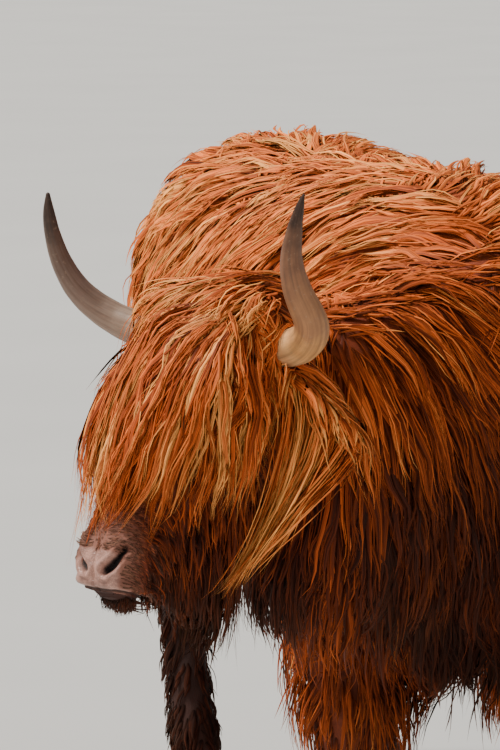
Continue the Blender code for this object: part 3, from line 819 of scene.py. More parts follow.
def open_eyes(mesh):
    """Lids over the eyeballs, with an almond opening."""
    points = coordinates(mesh)
    for side in SIDES.values():
        centre = eye_centre(side)
        rel = points - centre
        reach = np.linalg.norm(rel, axis=1)
        near = reach < EYE_RADIUS * 2.2
        way = unit(rel[near])
        out, level, rise = way @ (HEAD_LEFT * side), way @ FACE_DOWN, way @ BROW
        opening = (level / 0.80) ** 2 + (rise / (0.46 * (1 - 0.35 * level ** 2))) ** 2
        lid = 1.10 + 0.05 * np.exp(-((opening - 1.25) / 0.35) ** 2)
        want = np.where((opening < 1) & (out > 0), 0.80, lid) * EYE_RADIUS
        blend = smoothstep(2.1, 1.3, reach[near] / EYE_RADIUS) * smoothstep(-0.2, 0.25, out)
        moved = centre + way * (reach[near] + (want - reach[near]) * blend)[:, None]
        outer = (want < EYE_RADIUS) | (reach[near] < want) | (opening < 2.0)
        points[near] = np.where(outer[:, None], moved, points[near])
    set_coordinates(mesh, points)


def finely_cut(points):
    """Where the skin needs finer faces: the muzzle and round the eyes."""
    a, l, b = head_coordinates(points).T
    muzzle = (a > 0.315) & (np.abs(l) < 0.10) & (a < 0.50) & (b > -0.13)
    return muzzle | (distance_to_eyes(points) < 0.040)


def fur_grain(points):
    """A place stretched along the lie of the hair, for the grain of the short fur."""
    head = head_coordinates(points)
    on_face = smoothstep(0.0, 0.06, head[:, 0])[:, None] * (np.abs(head[:, 1]) < 0.13)[:, None]
    down_the_face, down = np.array([70.0, 420.0, 260.0]), np.array([420.0, 420.0, 70.0])
    return head * down_the_face * on_face + (points - WITHERS) * down * (1 - on_face)


def make_skin():
    """One closed skin over body, head, ears and udder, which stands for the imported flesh."""
    parts = [body_core(), *head_core(), *udder_core()] + [ear_core(side) for side in SIDES.values()]
    mesh = melted(joined(parts), SKIN_VOXEL, 3)
    mesh = refined(mesh, finely_cut, 3)
    relaxed(mesh, lambda points: finely_cut(points).astype(float), 12)
    pad, holes = sculpt_muzzle(mesh, Surface(mesh))
    open_eyes(mesh)
    points = coordinates(mesh)
    x, y, z = (points - WITHERS).T
    ahead = (points - HEAD_ORIGIN) @ FACING
    above_mouth = points[:, 2] - HEAD_ORIGIN[2] > mouth_height(ahead)
    pink = smoothstep(0.50, 0.44, z) * (np.abs(x) < 0.085) * (np.abs(y - 0.735) < 0.12)
    pink = np.maximum(pink, 0.50 * smoothstep(0.205, 0.250, ahead) * above_mouth)
    holes = np.maximum(holes, smoothstep(0.0235, 0.0215, distance_to_eyes(points)) * 0.9)
    gold, dark = marks_and_painted_light(points)
    chance = 0.30 + 0.12 * np.sin(31 * x + 17 * z) * np.sin(23 * y)
    colour_attribute(mesh, "Marks", np.stack([gold * 0.6, dark, chance], 1))
    colour_attribute(mesh, "Bare", np.stack([pad, holes, pink], 1))
    colour_attribute(mesh, "Lay", fur_grain(points))
    shade_smooth(mesh)
    skin = new_object("skin", mesh, skin_material(), "coat")
    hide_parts(*FLESH)
    return skin


# ---------------------------------------------------------------- eyes, horns, hooves

def make_eyes():
    """Eyeballs with a bulging iris and a level pupil, looking out to the side."""
    material = eye_material()
    for name, side in SIDES.items():
        mesh = ball(EYE_RADIUS, 5)
        points = coordinates(mesh)
        way = unit(points)
        gaze = unit(HEAD_LEFT * side * 0.94 + FACE_DOWN * 0.30 + BROW * 0.08)
        level = unit(FACE_DOWN - gaze * (FACE_DOWN @ gaze))
        rise = np.cross(gaze, level)
        front = way @ gaze > 0
        spread = np.hypot(way @ level, way @ rise)
        iris = smoothstep(0.66, 0.62, spread) * front
        pupil = smoothstep(1.05, 0.95, np.hypot((way @ level) / 0.40, (way @ rise) / 0.19)) * front
        bulge = 1 + 0.055 * smoothstep(0.70, 0.0, spread) * front
        set_coordinates(mesh, eye_centre(side) + points * bulge[:, None])
        colour_attribute(mesh, "Eye", np.stack([iris, pupil, iris * 0], 1))
        shade_smooth(mesh)
        eye = new_object(f"eyeball_{name}", mesh, material, "eye")
        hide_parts(f"eye_{name}")


HORN_ROWS = {   # (outwards, forwards, upwards, share of the base radius)
    "left": [(0.060, 0.000, -0.012, 1.0), (0.128, 0.000, -0.010, 1.0), (0.180, 0.007, 0.006, 0.97),
             (0.215, 0.030, 0.036, 0.89), (0.218, 0.062, 0.088, 0.74), (0.222, 0.078, 0.132, 0.58),
             (0.236, 0.086, 0.177, 0.40), (0.247, 0.087, 0.210, 0.23), (0.253, 0.085, 0.229, 0.06)],
    "right": [(0.060, 0.000, -0.010, 1.0), (0.140, 0.000, -0.006, 0.98), (0.190, 0.006, 0.001, 0.90),
              (0.235, 0.022, 0.023, 0.80), (0.262, 0.044, 0.054, 0.69), (0.276, 0.064, 0.095, 0.56),
              (0.281, 0.078, 0.137, 0.43), (0.283, 0.084, 0.171, 0.31), (0.283, 0.086, 0.200, 0.10)],
}
HORN_RADIUS = 0.0285
HORN_IN_HAIR = 0.065    # how much of each horn lies under the hair, before its colours begin


def horn_course(name, steps):
    """A horn's middle line, and its radius along it."""
    rows = blended_rows(HORN_ROWS[name], steps)
    course = HEAD_ORIGIN + HEAD_LEFT * SIDES[name] * rows[:, :1] + FACING * rows[:, 1:2] - DOWN * rows[:, 2:3]
    return course, HORN_RADIUS * rows[:, 3]


def horn_mesh(name):
    """Slightly uneven rings along the horn's course, with a map along it."""
    around = 40
    course, radii = horn_course(name, 8)
    along = unit(np.gradient(course, axis=0))
    across = unit(FACING - along * (along @ FACING)[:, None])
    up = np.cross(along, across)
    travelled = distance_along(course[None])[0]
    travelled = np.clip((travelled - HORN_IN_HAIR) / (travelled[-1] - HORN_IN_HAIR), 0, 1)
    angle = TURN * np.arange(around) / around
    rings = []
    for middle, radius, far, out, over in zip(course, radii, travelled, across, up):
        wobble = 1 + 0.012 * np.sin(3 * angle + 5 * far) + 0.010 * np.sin(angle * 7 + 2)
        ripple = 1 + 0.010 * np.sin(far * 60) * (1 - far)
        size = radius * wobble * ripple
        rings.append(middle + np.outer(np.cos(angle) * size, out) + np.outer(np.sin(angle) * size, over))
    points = np.vstack([*rings, course[0], course[-1] + along[-1] * 0.002])
    faces, places = [], []
    last = len(rings) - 1
    sectors = [(k / around, (k + 1) / around) for k in range(around)]
    for i in range(last):
        faces += ring_faces(i * around, (i + 1) * around, around)
        near, far = travelled[i:i + 2]
        for u, v in sectors:
            places += [(u, near), (v, near), (v, far), (u, far)]
    base, tip = len(points) - 2, len(points) - 1
    for k, (u, v) in enumerate(sectors):
        n = (k + 1) % around
        faces += [(n, k, base), (last * around + k, last * around + n, tip)]
        places += [(v, 0), (u, 0), (u, 0), (u, 1), (v, 1), (u, 1)]
    mesh = bpy.data.meshes.new("horn")
    mesh.from_pydata([tuple(p) for p in points], [], faces)
    uv_layer(mesh, "Strand", places)
    face_out(mesh)
    shade_smooth(mesh)
    return mesh


def make_horns():
    for name in SIDES:
        horn = new_object(f"horn_shell_{name}", horn_mesh(name), horn_material(name), "horn")
        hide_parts(f"horn_{name}")


# Where each foot stands from the withers: (to the left, back).
FEET = {("fore", "left"): (0.150, 0.070), ("fore", "right"): (-0.192, -0.005),
        ("hind", "left"): (0.160, 0.925), ("hind", "right"): (-0.183, 0.885)}
# A claw's rings: (height, share of the width, share of the length, how far back).
CLAW_ROWS = [(0.0, 0.97, 0.98, 0.0), (0.002, 1.0, 1.0, 0.0), (0.020, 1.0, 0.97, 0.005),
             (0.045, 0.93, 0.87, 0.015), (0.066, 0.84, 0.76, 0.023), (0.074, 0.70, 0.62, 0.026)]
CLAW_HALF_LENGTH, CLAW_HALF_WIDTH = 0.052, 0.025


def claw_mesh(centre, across):
    """A claw that narrows to its toe, with faint rings round it."""
    around = 36
    angle = TURN * np.arange(around) / around
    rings = []
    for i, (height, width, depth, back) in enumerate(blended_rows(CLAW_ROWS, 3)):
        ahead = CLAW_HALF_LENGTH * depth * np.sin(angle)
        narrowing = 1 - 0.45 * np.maximum(0, np.sin(angle)) ** 2
        groove = 1 + 0.012 * math.sin(i * 2.1) * (height > 0.004)
        sideways = CLAW_HALF_WIDTH * width * np.cos(angle) * narrowing * groove + 0.05 * across * ahead
        rings.append(centre + np.stack([sideways, back - ahead * groove, np.full(around, height)], 1))
    mesh = loft(rings)
    shade_smooth(mesh)
    return mesh


def make_hooves():
    """Two claws on each foot, and behind them the dewclaws."""
    material = hoof_material()
    dewclaws = []
    for (end, name), (x, y) in FEET.items():
        for claw, across in (("inner", -SIDES[name]), ("outer", SIDES[name])):
            centre = WITHERS + np.array([x + across * 0.0275, y - 0.030, 0])
            hoof = new_object(f"hoof_{end}_{name}_{claw}", claw_mesh(centre, across), material, "hoof")
            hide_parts(f"claw_{end}_{name}_{claw}")
        for across in (-0.024, 0.024):
            base = WITHERS + np.array([x + across, y + (0.030 if end == "fore" else 0.052), 0.098])
            dewclaws.append(ellipsoid(base, np.eye(3), (0.011, 0.013, 0.017), 3))
    mesh = joined(dewclaws)
    shade_smooth(mesh)
    new_object("dewclaws", mesh, material, "hoof")


# ---------------------------------------------------------------- coat

def swirl(points, seed):
    """A slow wandering angle over the body, in radians."""
    x, y, z = (points - WITHERS).T
    return (0.42 * np.sin(8.1 * x + 5.3 * y + seed) + 0.38 * np.sin(9.7 * z - 7.9 * y + 1.7 * seed)
            + 0.22 * np.sin(17.0 * y + 12.0 * z - 2.3 * seed))


def turned(direction, normals, angle):
    """The directions turned about the normals."""
    c, s = np.cos(angle)[:, None], np.sin(angle)[:, None]
    return direction * c + np.cross(normals, direction) * s


def tangent(direction, normals):
    """The directions laid flat on the surface."""
    return unit(direction - normals * (direction * normals).sum(1, keepdims=True))


def lie_on_trunk(points, normals):
    """The way the hair lies, at places on the trunk: out to the sides, back and down."""
    rel = points - WITHERS
    outwards = np.tanh(rel[:, 0] / 0.15)
    way = np.stack([0.55 * outwards, np.full(len(points), 0.55), np.full(len(points), -0.80)], 1)
    return turned(tangent(way, normals), normals, 0.50 * swirl(points, 0.4))


def lie_on_neck(points, normals):
    outwards = np.tanh(aside_of_neck(points) / 0.10)
    way = -NECK_HEADING * 0.30 + DOWN * 0.95 + NECK_SIDE * outwards[:, None] * 0.40
    return turned(tangent(way, normals), normals, 0.38 * swirl(points, 2.1))


def lie_down(points, normals):
    way = np.tile(np.array([0.0, 0.18, -1.0]), (len(points), 1))
    return turned(tangent(way, normals), normals, 0.25 * swirl(points * 3, 1.0))


def lie_on_face(points, normals):
    a, l, b = head_coordinates(points).T
    ahead = (points - HEAD_ORIGIN) @ FACING
    outwards = np.tanh(l / 0.02)[:, None] * HEAD_LEFT
    way = FACE_DOWN * 0.70 + DOWN * 0.40 + outwards * 0.30
    # from the nose the hair runs back along the cheeks, and down over them
    back = -FACING * 0.85 + DOWN * 0.45 + outwards * 0.5
    nose = smoothstep(0.13, 0.20, ahead)[:, None] * (a > 0.2)[:, None]
    cheek = smoothstep(-0.01, -0.06, b)[:, None]
    over_cheek = -FACING * 0.55 + DOWN * 0.85 + outwards * 0.2
    way = way * (1 - nose) + back * nose
    way = way * (1 - cheek) + over_cheek * cheek
    return turned(tangent(way, normals), normals, 0.22 * swirl(points * 4, 3.0))


def lie_on_poll(points, normals):
    left = head_coordinates(points)[:, 1][:, None]
    way = FACE_DOWN * 0.8 + FACING * 0.35 + HEAD_LEFT * (np.clip(left * 5, -0.6, 0.6) - 0.30)
    return turned(tangent(way, normals), normals, 0.16 * swirl(points * 2, 5.0))


def lie_on_ear(points, normals):
    side = np.where(head_coordinates(points)[:, 1] > 0, 1.0, -1.0)[:, None]
    return tangent(HEAD_LEFT * side * 0.45 + DOWN * 0.85 + FACING * 0.20, normals)


def smoothed(course, rounds=1):
    """The courses with their kinks drawn out, ends kept."""
    course = course.copy()
    for _ in range(rounds):
        course[:, 1:-1] = 0.25 * course[:, :-2] + 0.5 * course[:, 1:-1] + 0.25 * course[:, 2:]
    return course


def resampled(course, steps, share=1.0):
    """Each course, up to its share of the length, at steps + 1 places on a smooth curve."""
    last = course.shape[1] - 1
    t = np.linspace(0, 1, steps + 1)[None, :] * np.reshape(share, (-1, 1)) * last
    low = np.clip(t.astype(int), 0, last - 1)
    f = (t - low)[..., None]
    rows = np.arange(len(course))[:, None]
    a, b, c, d = (course[rows, np.clip(low + k, 0, last)] for k in (-1, 0, 1, 2))
    return spline(a, b, c, d, f)


def grow(surface, roots, normals, length, steps, lie, gravity, lift, hold=0.5, lean_out=0.35, drop_in=0.3):
    """Courses of hair from roots, lying along the body: (locks, steps + 1, 3).

    lift is the height to lie at, hold how stiffly a lock keeps its way, lean_out how far it first
    stands out, and drop_in how much of its height over the lift it gives up at each step."""
    way = unit(lie(roots, normals) + normals * lean_out)
    at, course = roots.copy(), [roots.copy()]
    for step in range(1, steps + 1):
        places, around, _ = surface.nearest(at)
        way = unit(way * hold + lie(places, around) * (1 - hold) + DOWN * gravity)
        ahead = at + way * (length / steps)[:, None]
        _, around, height = surface.nearest(ahead)
        over = height - lift * (1 - math.exp(-4.0 * (step / steps)))
        ahead = ahead - around * np.where(over < 0, over, over * drop_in)[:, None]
        way = unit(ahead - at)
        at = ahead
        course.append(at.copy())
    return smoothed(np.stack(course, 1), 2)


def wave_phase(points, rng, own=0.8):
    """Phases that drift slowly over the body, so that neighbouring locks wave together."""
    x, y, z = (points - WITHERS).T
    shared = (2.2 * np.sin(6.1 * x + 3.7 * y) + 2.0 * np.sin(5.3 * z + 4.1 * x + 1.0)
              + 1.4 * np.sin(9.0 * y - 7.0 * z))
    return shared + rng.normal(0, own, len(points))


def waved(course, normals, size, wavelength, phase, start=0.35):
    """The courses with a wave from side to side and a smaller one up and down."""
    along = unit(np.gradient(course, axis=1))
    side = unit(np.cross(along, normals[:, None, :]))
    up = np.cross(side, along)
    t = np.linspace(0, 1, course.shape[1])
    swing = np.reshape(size, (-1, 1)) * smoothstep(0.0, start, t) * (0.7 + 0.5 * t)
    turn = TURN * distance_along(course) / np.reshape(wavelength, (-1, 1)) + phase[:, None]
    sideways, rise = np.sin(turn) * swing, np.cos(turn * 0.8) * swing * 0.35
    return course + side * sideways[..., None] + up * rise[..., None]


def nearest_guide(roots, guides):
    """For each root, which guide starts nearest; worked out in blocks to spare memory."""
    best = np.empty(len(roots), int)
    block = 2000
    for start in range(0, len(roots), block):
        gap = ((roots[start:start + block, None, :] - guides[None, :, :]) ** 2).sum(2)
        best[start:start + block] = gap.argmin(1)
    return best


def clear_of_horns(points):
    """The points pushed out of the horns, to a small distance from them."""
    distance = 0.005
    for name in SIDES:
        spine, radii = (part[4:] for part in horn_course(name, 4))
        near = np.nonzero(np.linalg.norm(points - spine[4], axis=1) < 0.40)[0]
        for start in range(0, len(near), 4000):
            block = near[start:start + 4000]
            away = points[block, None, :] - spine[None, :, :]
            reach = np.linalg.norm(away, axis=2)
            k = reach.argmin(1)
            rank = np.arange(len(block))
            short = radii[k] + distance - reach[rank, k]
            points[block] += unit(away[rank, k]) * np.maximum(short, 0)[:, None]
    return points


def kept_out(surface, course, least, horns=False):
    """Lift the courses, beyond their roots, at least so far over the skin. Returns its normals there."""
    flat = course[:, 1:].reshape(-1, 3)
    if horns:
        flat = clear_of_horns(flat)
    _, normals, height = surface.nearest(flat)
    flat = flat + normals * np.maximum(0, least - height)[:, None]
    course[:, 1:] = flat.reshape(len(course), -1, 3)
    return normals.reshape(len(course), -1, 3)


def gathered(surface, guides, roots, rng, steps, clump=0.75, short=0.65, least=0.002, fray=0.004,
             horns=False, near=None):
    """Courses for many roots, each following its nearest guide and drawing in to it."""
    if near is None:
        near = nearest_guide(roots, guides[:, 0])
    count = len(roots)
    follow = resampled(guides[near], steps, rng.uniform(short, 1.0, count))
    t = np.linspace(0, 1, steps + 1)
    pull = clump * smoothstep(0.0, 0.95, t) * rng.uniform(0.70, 1.12, (count, 1))
    course = follow + (roots - guides[near, 0])[:, None, :] * (1 - pull)[..., None]
    drift = rng.normal(0, 1, (count, 1, 3)) * fray * (t ** 1.5)[None, :, None]
    bend = rng.normal(0, 1, (count, 1, 3)) * fray * 0.7 * np.sin(np.pi * t)[None, :, None]
    course = course + drift + bend
    kept_out(surface, course, least, horns)
    course = smoothed(course)
    normals = kept_out(surface, course, least, horns)
    return course, normals, near


def share_of_turn(x, y):
    """The angle of (x, y) as a share of a whole turn."""
    return np.arctan2(x, y) / TURN + 0.5


def unwrap_trunk(points):
    x, y, z = (points - WITHERS).T
    return np.stack([(y + 0.35) / 1.7, share_of_turn(x, z - 0.80)], 1)


def unwrap_neck(points):
    rel = points - WITHERS - NECK_PLACE
    return np.stack([(rel @ NECK_HEADING + 0.45) / 0.9, share_of_turn(rel @ NECK_SIDE, rel[:, 2] - 0.78)], 1)


def unwrap_head(points):
    a, l, b = head_coordinates(points).T
    return np.stack([(a + 0.15) / 0.65, share_of_turn(l, b + 0.05)], 1)


def unwrap_ears(points):
    a, l, b = head_coordinates(points).T
    along = (l > 0) * 0.5 + np.clip((np.abs(l) - 0.05) / 0.25, 0, 1) * 0.48
    return np.stack([along, share_of_turn(a - 0.02, b + 0.06)], 1)


def unwrap_legs(points):
    x, y, z = (points - WITHERS).T
    left, hind = x > 0, y > 0.45
    turn = share_of_turn(x - np.where(left, 0.16, -0.18), y - np.where(hind, 0.94, 0.04))
    return np.stack([left * 0.25 + hind * 0.5 + 0.24 * turn, z], 1)


Locks = namedtuple("Locks", "points homes widths marks normals")


class Coat:
    """Locks gathered for one piece of the coat, then made into a mesh of tapering solids."""

    def __init__(self, unwrap, rng):
        self.unwrap, self.rng, self.parts = unwrap, rng, []

    def add(self, course, normals, width, tone, spread, thin=0.22, lighter=0.0, root=0.5):
        """Three-sided locks on courses.

        width is how wide each is, thin its thickness as a share of that, and root the share of the
        width at its root; tone is how bright it is, give or take spread, plus lighter."""
        count, rings = course.shape[:2]
        along = unit(np.gradient(course, axis=1))
        facing = np.concatenate([normals[:, :1], normals], 1)
        side = unit(np.cross(along, facing))
        up = np.cross(side, along)
        lean = self.rng.normal(0, 0.35, (count, 1, 1))
        side, up = side * np.cos(lean) + up * np.sin(lean), up * np.cos(lean) - side * np.sin(lean)
        t = np.linspace(0, 1, rings)
        outline = (root + (1 - root) * smoothstep(0.0, 0.30, t)) * (1 - 0.60 * t ** 1.8)
        outline = outline * (1 - smoothstep(0.70, 1.0, t) * 0.90)
        half = (0.5 * width[:, None] * outline[None, :])[..., None]
        thick = half * thin
        points = np.stack([course + side * half - up * thick * 0.5, course + up * thick * 1.5,
                           course - side * half - up * thick * 0.5], 2)
        # shaded by the lock's own form and by the body's, as a mass of fine hair is
        form = np.stack([unit(side * 0.9 - up * 0.3), up, unit(-side * 0.9 - up * 0.3)], 2)
        shading = unit(form * 0.42 + facing[:, :, None, :] * 0.58)
        gold, dark = marks_and_painted_light(course[:, 0])
        chance = tone + self.rng.normal(0, spread, count)
        marks = np.stack([gold, dark, np.clip(chance + lighter, 0, 1)], 1)
        self.parts.append(Locks(points, course[:, 0], width, marks, shading))

    def made(self, name, material, *nodes, slot="coat"):
        """The object of all the locks, which takes the place of the nodes."""
        locks = Locks(*(np.concatenate(values) for values in zip(*self.parts)))
        count, rings = locks.points.shape[:2]
        base = (np.arange(count) * rings * 3)[:, None, None]
        ring = (np.arange(rings - 1) * 3)[None, :, None]
        k, n = np.arange(3)[None, None, :], np.array([1, 2, 0])[None, None, :]
        quads = np.stack([base + ring + k, base + ring + 3 + k, base + ring + 3 + n, base + ring + n], -1)
        quads = quads.reshape(-1, 4)
        first = (np.arange(count) * rings * 3)[:, None]
        last = first + (rings - 1) * 3
        heads = np.concatenate([first, first + 1, first + 2], 1)
        tails = np.concatenate([last + 2, last + 1, last], 1)
        corners = np.concatenate([quads.ravel(), heads.ravel(), tails.ravel()])
        starts = np.concatenate([np.arange(len(quads)) * 4, len(quads) * 4 + np.arange(2 * count) * 3])
        totals = np.concatenate([np.full(len(quads), 4), np.full(2 * count, 3)])
        mesh = bpy.data.meshes.new(name)
        mesh.vertices.add(count * rings * 3)
        mesh.vertices.foreach_set("co", locks.points.astype(np.float32).ravel())
        mesh.loops.add(len(corners))
        mesh.loops.foreach_set("vertex_index", corners.astype(np.int32))
        mesh.polygons.add(len(starts))
        mesh.polygons.foreach_set("loop_start", starts.astype(np.int32))
        mesh.polygons.foreach_set("loop_total", totals.astype(np.int32))
        mesh.update(calc_edges=True)
        shade_smooth(mesh)
        # the strands' own map, in centimetres across, and a small patch of the skin's unwrap at each root
        which, spot = corners // (rings * 3), corners % (rings * 3)
        across, far = (spot % 3) / 2.0, (spot // 3) / (rings - 1)
        uv_layer(mesh, "Strand", np.stack([across * locks.widths[which] * 100, far], 1))
        home = np.clip(self.unwrap(locks.homes), 0.003, 0.997)
        uv_layer(mesh, "OFBake", home[which] + (np.stack([across, far], 1) - 0.5) * 0.003)
        colour_attribute(mesh, "Marks", np.repeat(locks.marks, rings * 3, 0))
        mesh.normals_split_custom_set_from_vertices(locks.normals.reshape(-1, 3))
        obj = new_object(name, mesh, material, slot)
        if nodes:
            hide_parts(*nodes)


class Gaps:
    """Keeps where the locks lie over the skin, to find where none does."""

    def __init__(self, surface):
        self.surface, self.places = surface, []

    def cover(self, course):
        """Note the courses' outer parts, drawn down to the skin."""
        middle = 0.5 * (course[:, 1:-1] + course[:, 2:])
        points = np.concatenate([course[:, 2:], middle], 1).reshape(-1, 3)
        self.places.append(self.surface.nearest(points)[0])

    def found(self, points, normals, reach, most):
        """Those of the points with no lock within reach, at most so many."""
        places = np.concatenate(self.places)
        tree = KDTree(len(places))
        for i, place in enumerate(places.tolist()):
            tree.insert(place, i)
        tree.balance()
        bald = np.array([tree.find(p)[2] > reach for p in points.tolist()])
        pick = np.nonzero(bald)[0][:most]
        return points[pick], normals[pick]


# The forelock's locks in the head's frame, in millimetres: (along, left, up).
LEADING_LOCKS = [     # from the left cheek to the middle
    [(-20, 80, 80), (-12, 106, 66), (0, 124, 36), (30, 134, 10), (60, 138, -15), (95, 138, -32),
     (140, 134, -60), (175, 126, -95)],
    [(-12, 76, 84), (44, 118, 60), (81, 134, 37), (115, 142, 8), (145, 142, -20), (175, 138, -42),
     (205, 132, -62), (235, 122, -82)],
    [(-10, 67, 89), (33, 105, 74), (73, 126, 56), (115, 137, 36), (150, 142, 16), (190, 140, -4),
     (225, 130, -28), (262, 112, -52)],
    [(-6, 64, 92), (45, 90, 87), (98, 100, 84), (159, 104, 78), (210, 104, 66), (255, 96, 46),
     (295, 80, 22), (330, 62, 0)],
    [(-2, 62, 92), (40, 72, 94), (90, 66, 98), (150, 64, 96), (210, 60, 90), (266, 50, 78),
     (304, 36, 62), (345, 16, 36)],
    [(-8, 55, 94), (30, 36, 100), (75, 18, 103), (130, 10, 100), (190, 8, 94), (250, 6, 85),
     (305, 2, 68), (352, -6, 36)],
    [(-10, 20, 96), (24, -12, 99), (68, -26, 100), (128, -34, 97), (194, -35, 90), (257, -34, 78),
     (320, -34, 55), (372, -42, 24)],
]
BLOND_LOCK = [(70, 104, 88), (101, 124, 74), (127, 135, 62), (162, 144, 48), (193, 147, 27),
              (226, 147, 7), (256, 135, -15), (282, 122, -42)]
LOOSE_LOCKS = [
    [(-10, 67, 92), (8, 91, 86), (33, 113, 74), (73, 134, 59), (105, 146, 40), (139, 152, 20),
     (176, 148, 4), (205, 150, -30), (245, 140, -60)],
    [(-21, 80, 84), (-14, 108, 70), (-4, 130, 40), (14, 134, 10), (49, 146, 0), (85, 142, -35),
     (115, 152, -36), (150, 141, -60), (190, 130, -85)],
    [(-8, 60, 96), (34, 16, 106), (80, -2, 108), (130, -12, 103), (185, -12, 99), (241, -5, 92),
     (303, 0, 76), (350, -20, 50), (385, -35, 30)],
    [(-2, 70, 93), (30, 68, 97), (75, 59, 103), (120, 49, 103), (170, 53, 100), (220, 45, 96),
     (266, 41, 87), (310, 26, 74), (360, -12, 48)],
    [(0, 72, 92), (55, 88, 94), (110, 94, 92), (165, 92, 92), (224, 94, 83), (275, 91, 68),
     (312, 77, 55), (345, 45, 36), (370, 20, 20)],
    [(-10, 30, 100), (22, -26, 104), (68, -34, 106), (128, -42, 102), (194, -40, 96), (257, -36, 86),
     (327, -34, 64), (379, -45, 34), (420, -50, 10)],
    [(20, 86, 88), (61, 104, 86), (109, 113, 81), (162, 124, 71), (197, 140, 48), (227, 144, 28),
     (264, 133, 12), (290, 120, -20), (315, 110, -45)],
]


def in_metres(lock):
    """A lock's points from millimetres."""
    return [tuple(value / 1000 for value in point) for point in lock]


def mirrored_lock(lock):
    """A lock of the left side for the right, which lies closer in under the horn."""
    out = []
    for a, l, b in lock:
        t = min(max((a - 0.05) / 0.25, 0), 1)
        out.append((a, -l * (0.61 + 0.40 * t), b * (0.86 + 0.08 * t)))
    return out


def drawn_on(lock, far):
    """The lock with a further point beyond its end, sinking towards the skin."""
    (a, l, b), (c, d, e) = lock[-2:]
    size = math.dist(lock[-2], lock[-1])
    return lock + [(c + (c - a) * far / size, d + (d - l) * far / size, e + (e - b) * far / size - 0.006)]


def forelock_keys():
    """The leading locks, drawn on, from the left cheek over the middle to the right one."""
    left = [drawn_on(in_metres(lock), 0.036) for lock in LEADING_LOCKS]
    return left + [mirrored_lock(lock) for lock in left[4::-1]]


def in_the_room(courses):
    """Courses in the head's frame as places."""
    return HEAD_ORIGIN + np.array(courses) @ HEAD_AXES


def forelock_guides(surface, count, rng):
    """Guides between the leading locks, rooted in the skin: their courses, places across and depths."""
    steps = 14
    keys = resampled(in_the_room(forelock_keys()), steps)
    u = (np.arange(count) + rng.random(count)) / count * (len(keys) - 1.001)
    low, f = u.astype(int), (u % 1)[:, None, None]
    course = keys[low] * (1 - f) + keys[low + 1] * f
    depth = np.where(rng.random(count) < 0.62, rng.uniform(0.0, 0.10, count), rng.uniform(0.14, 0.42, count))
    local = head_coordinates(course.reshape(-1, 3)).reshape(course.shape)
    local[..., 1] *= (1 - depth * 0.55)[:, None]
    local[..., 2] = local[..., 2] * (1 - depth)[:, None] - 0.02 * depth[:, None]
    local[..., 0] += rng.normal(0, 0.008, (count, 1)) - 0.04 * (depth * rng.random(count))[:, None]
    course = resampled(in_the_room(local), steps, rng.uniform(0.74, 1.0, count))
    t = np.linspace(0, 1, steps + 1)
    sideways = rng.normal(0, 0.012, (count, 1)) * smoothstep(0.0, 0.5, t)
    course = course + HEAD_LEFT * sideways[..., None]
    course = rooted(surface, course)
    kept_out(surface, course, 0.004)
    return smoothed(course, 2), u / (len(keys) - 1), depth


def rooted(surface, course):
    """The courses with their first part drawn down to a root a little under the skin."""
    t = np.linspace(0, 1, course.shape[1])
    places, normals, _ = surface.nearest(course[:, 0])
    gap = places - normals * 0.004 - course[:, 0]
    return course + gap[:, None, :] * (1 - smoothstep(0.0, 0.22, t))[None, :, None]


def bunch(surface, lock, count, rng, root, middle, tip):
    """Strands round one lock, spread so far at its root, middle and tip: (courses, skin's normals)."""
    steps = 12
    course = resampled(in_the_room(in_metres(lock))[None], steps)
    t = np.linspace(0, 1, steps + 1)
    size = root * (1 - t) ** 2 + middle * 2 * t * (1 - t) + tip * t ** 2
    offsets = rng.normal(0, 0.6, (count, 1, 3))
    many = resampled(np.repeat(course, count, 0), steps, rng.uniform(0.75, 1.0, count))
    many = many + offsets * size[None, :, None]
    _, normals, _ = surface.nearest(many[:, 0])
    many = waved(many, normals, 0.004 * rng.uniform(0.3, 1.0, count), rng.uniform(0.06, 0.11, count),
                 rng.normal(0, 0.7, count) + rng.random() * 6)
    many = rooted(surface, many)
    normals = kept_out(surface, many, 0.003)
    return many, normals


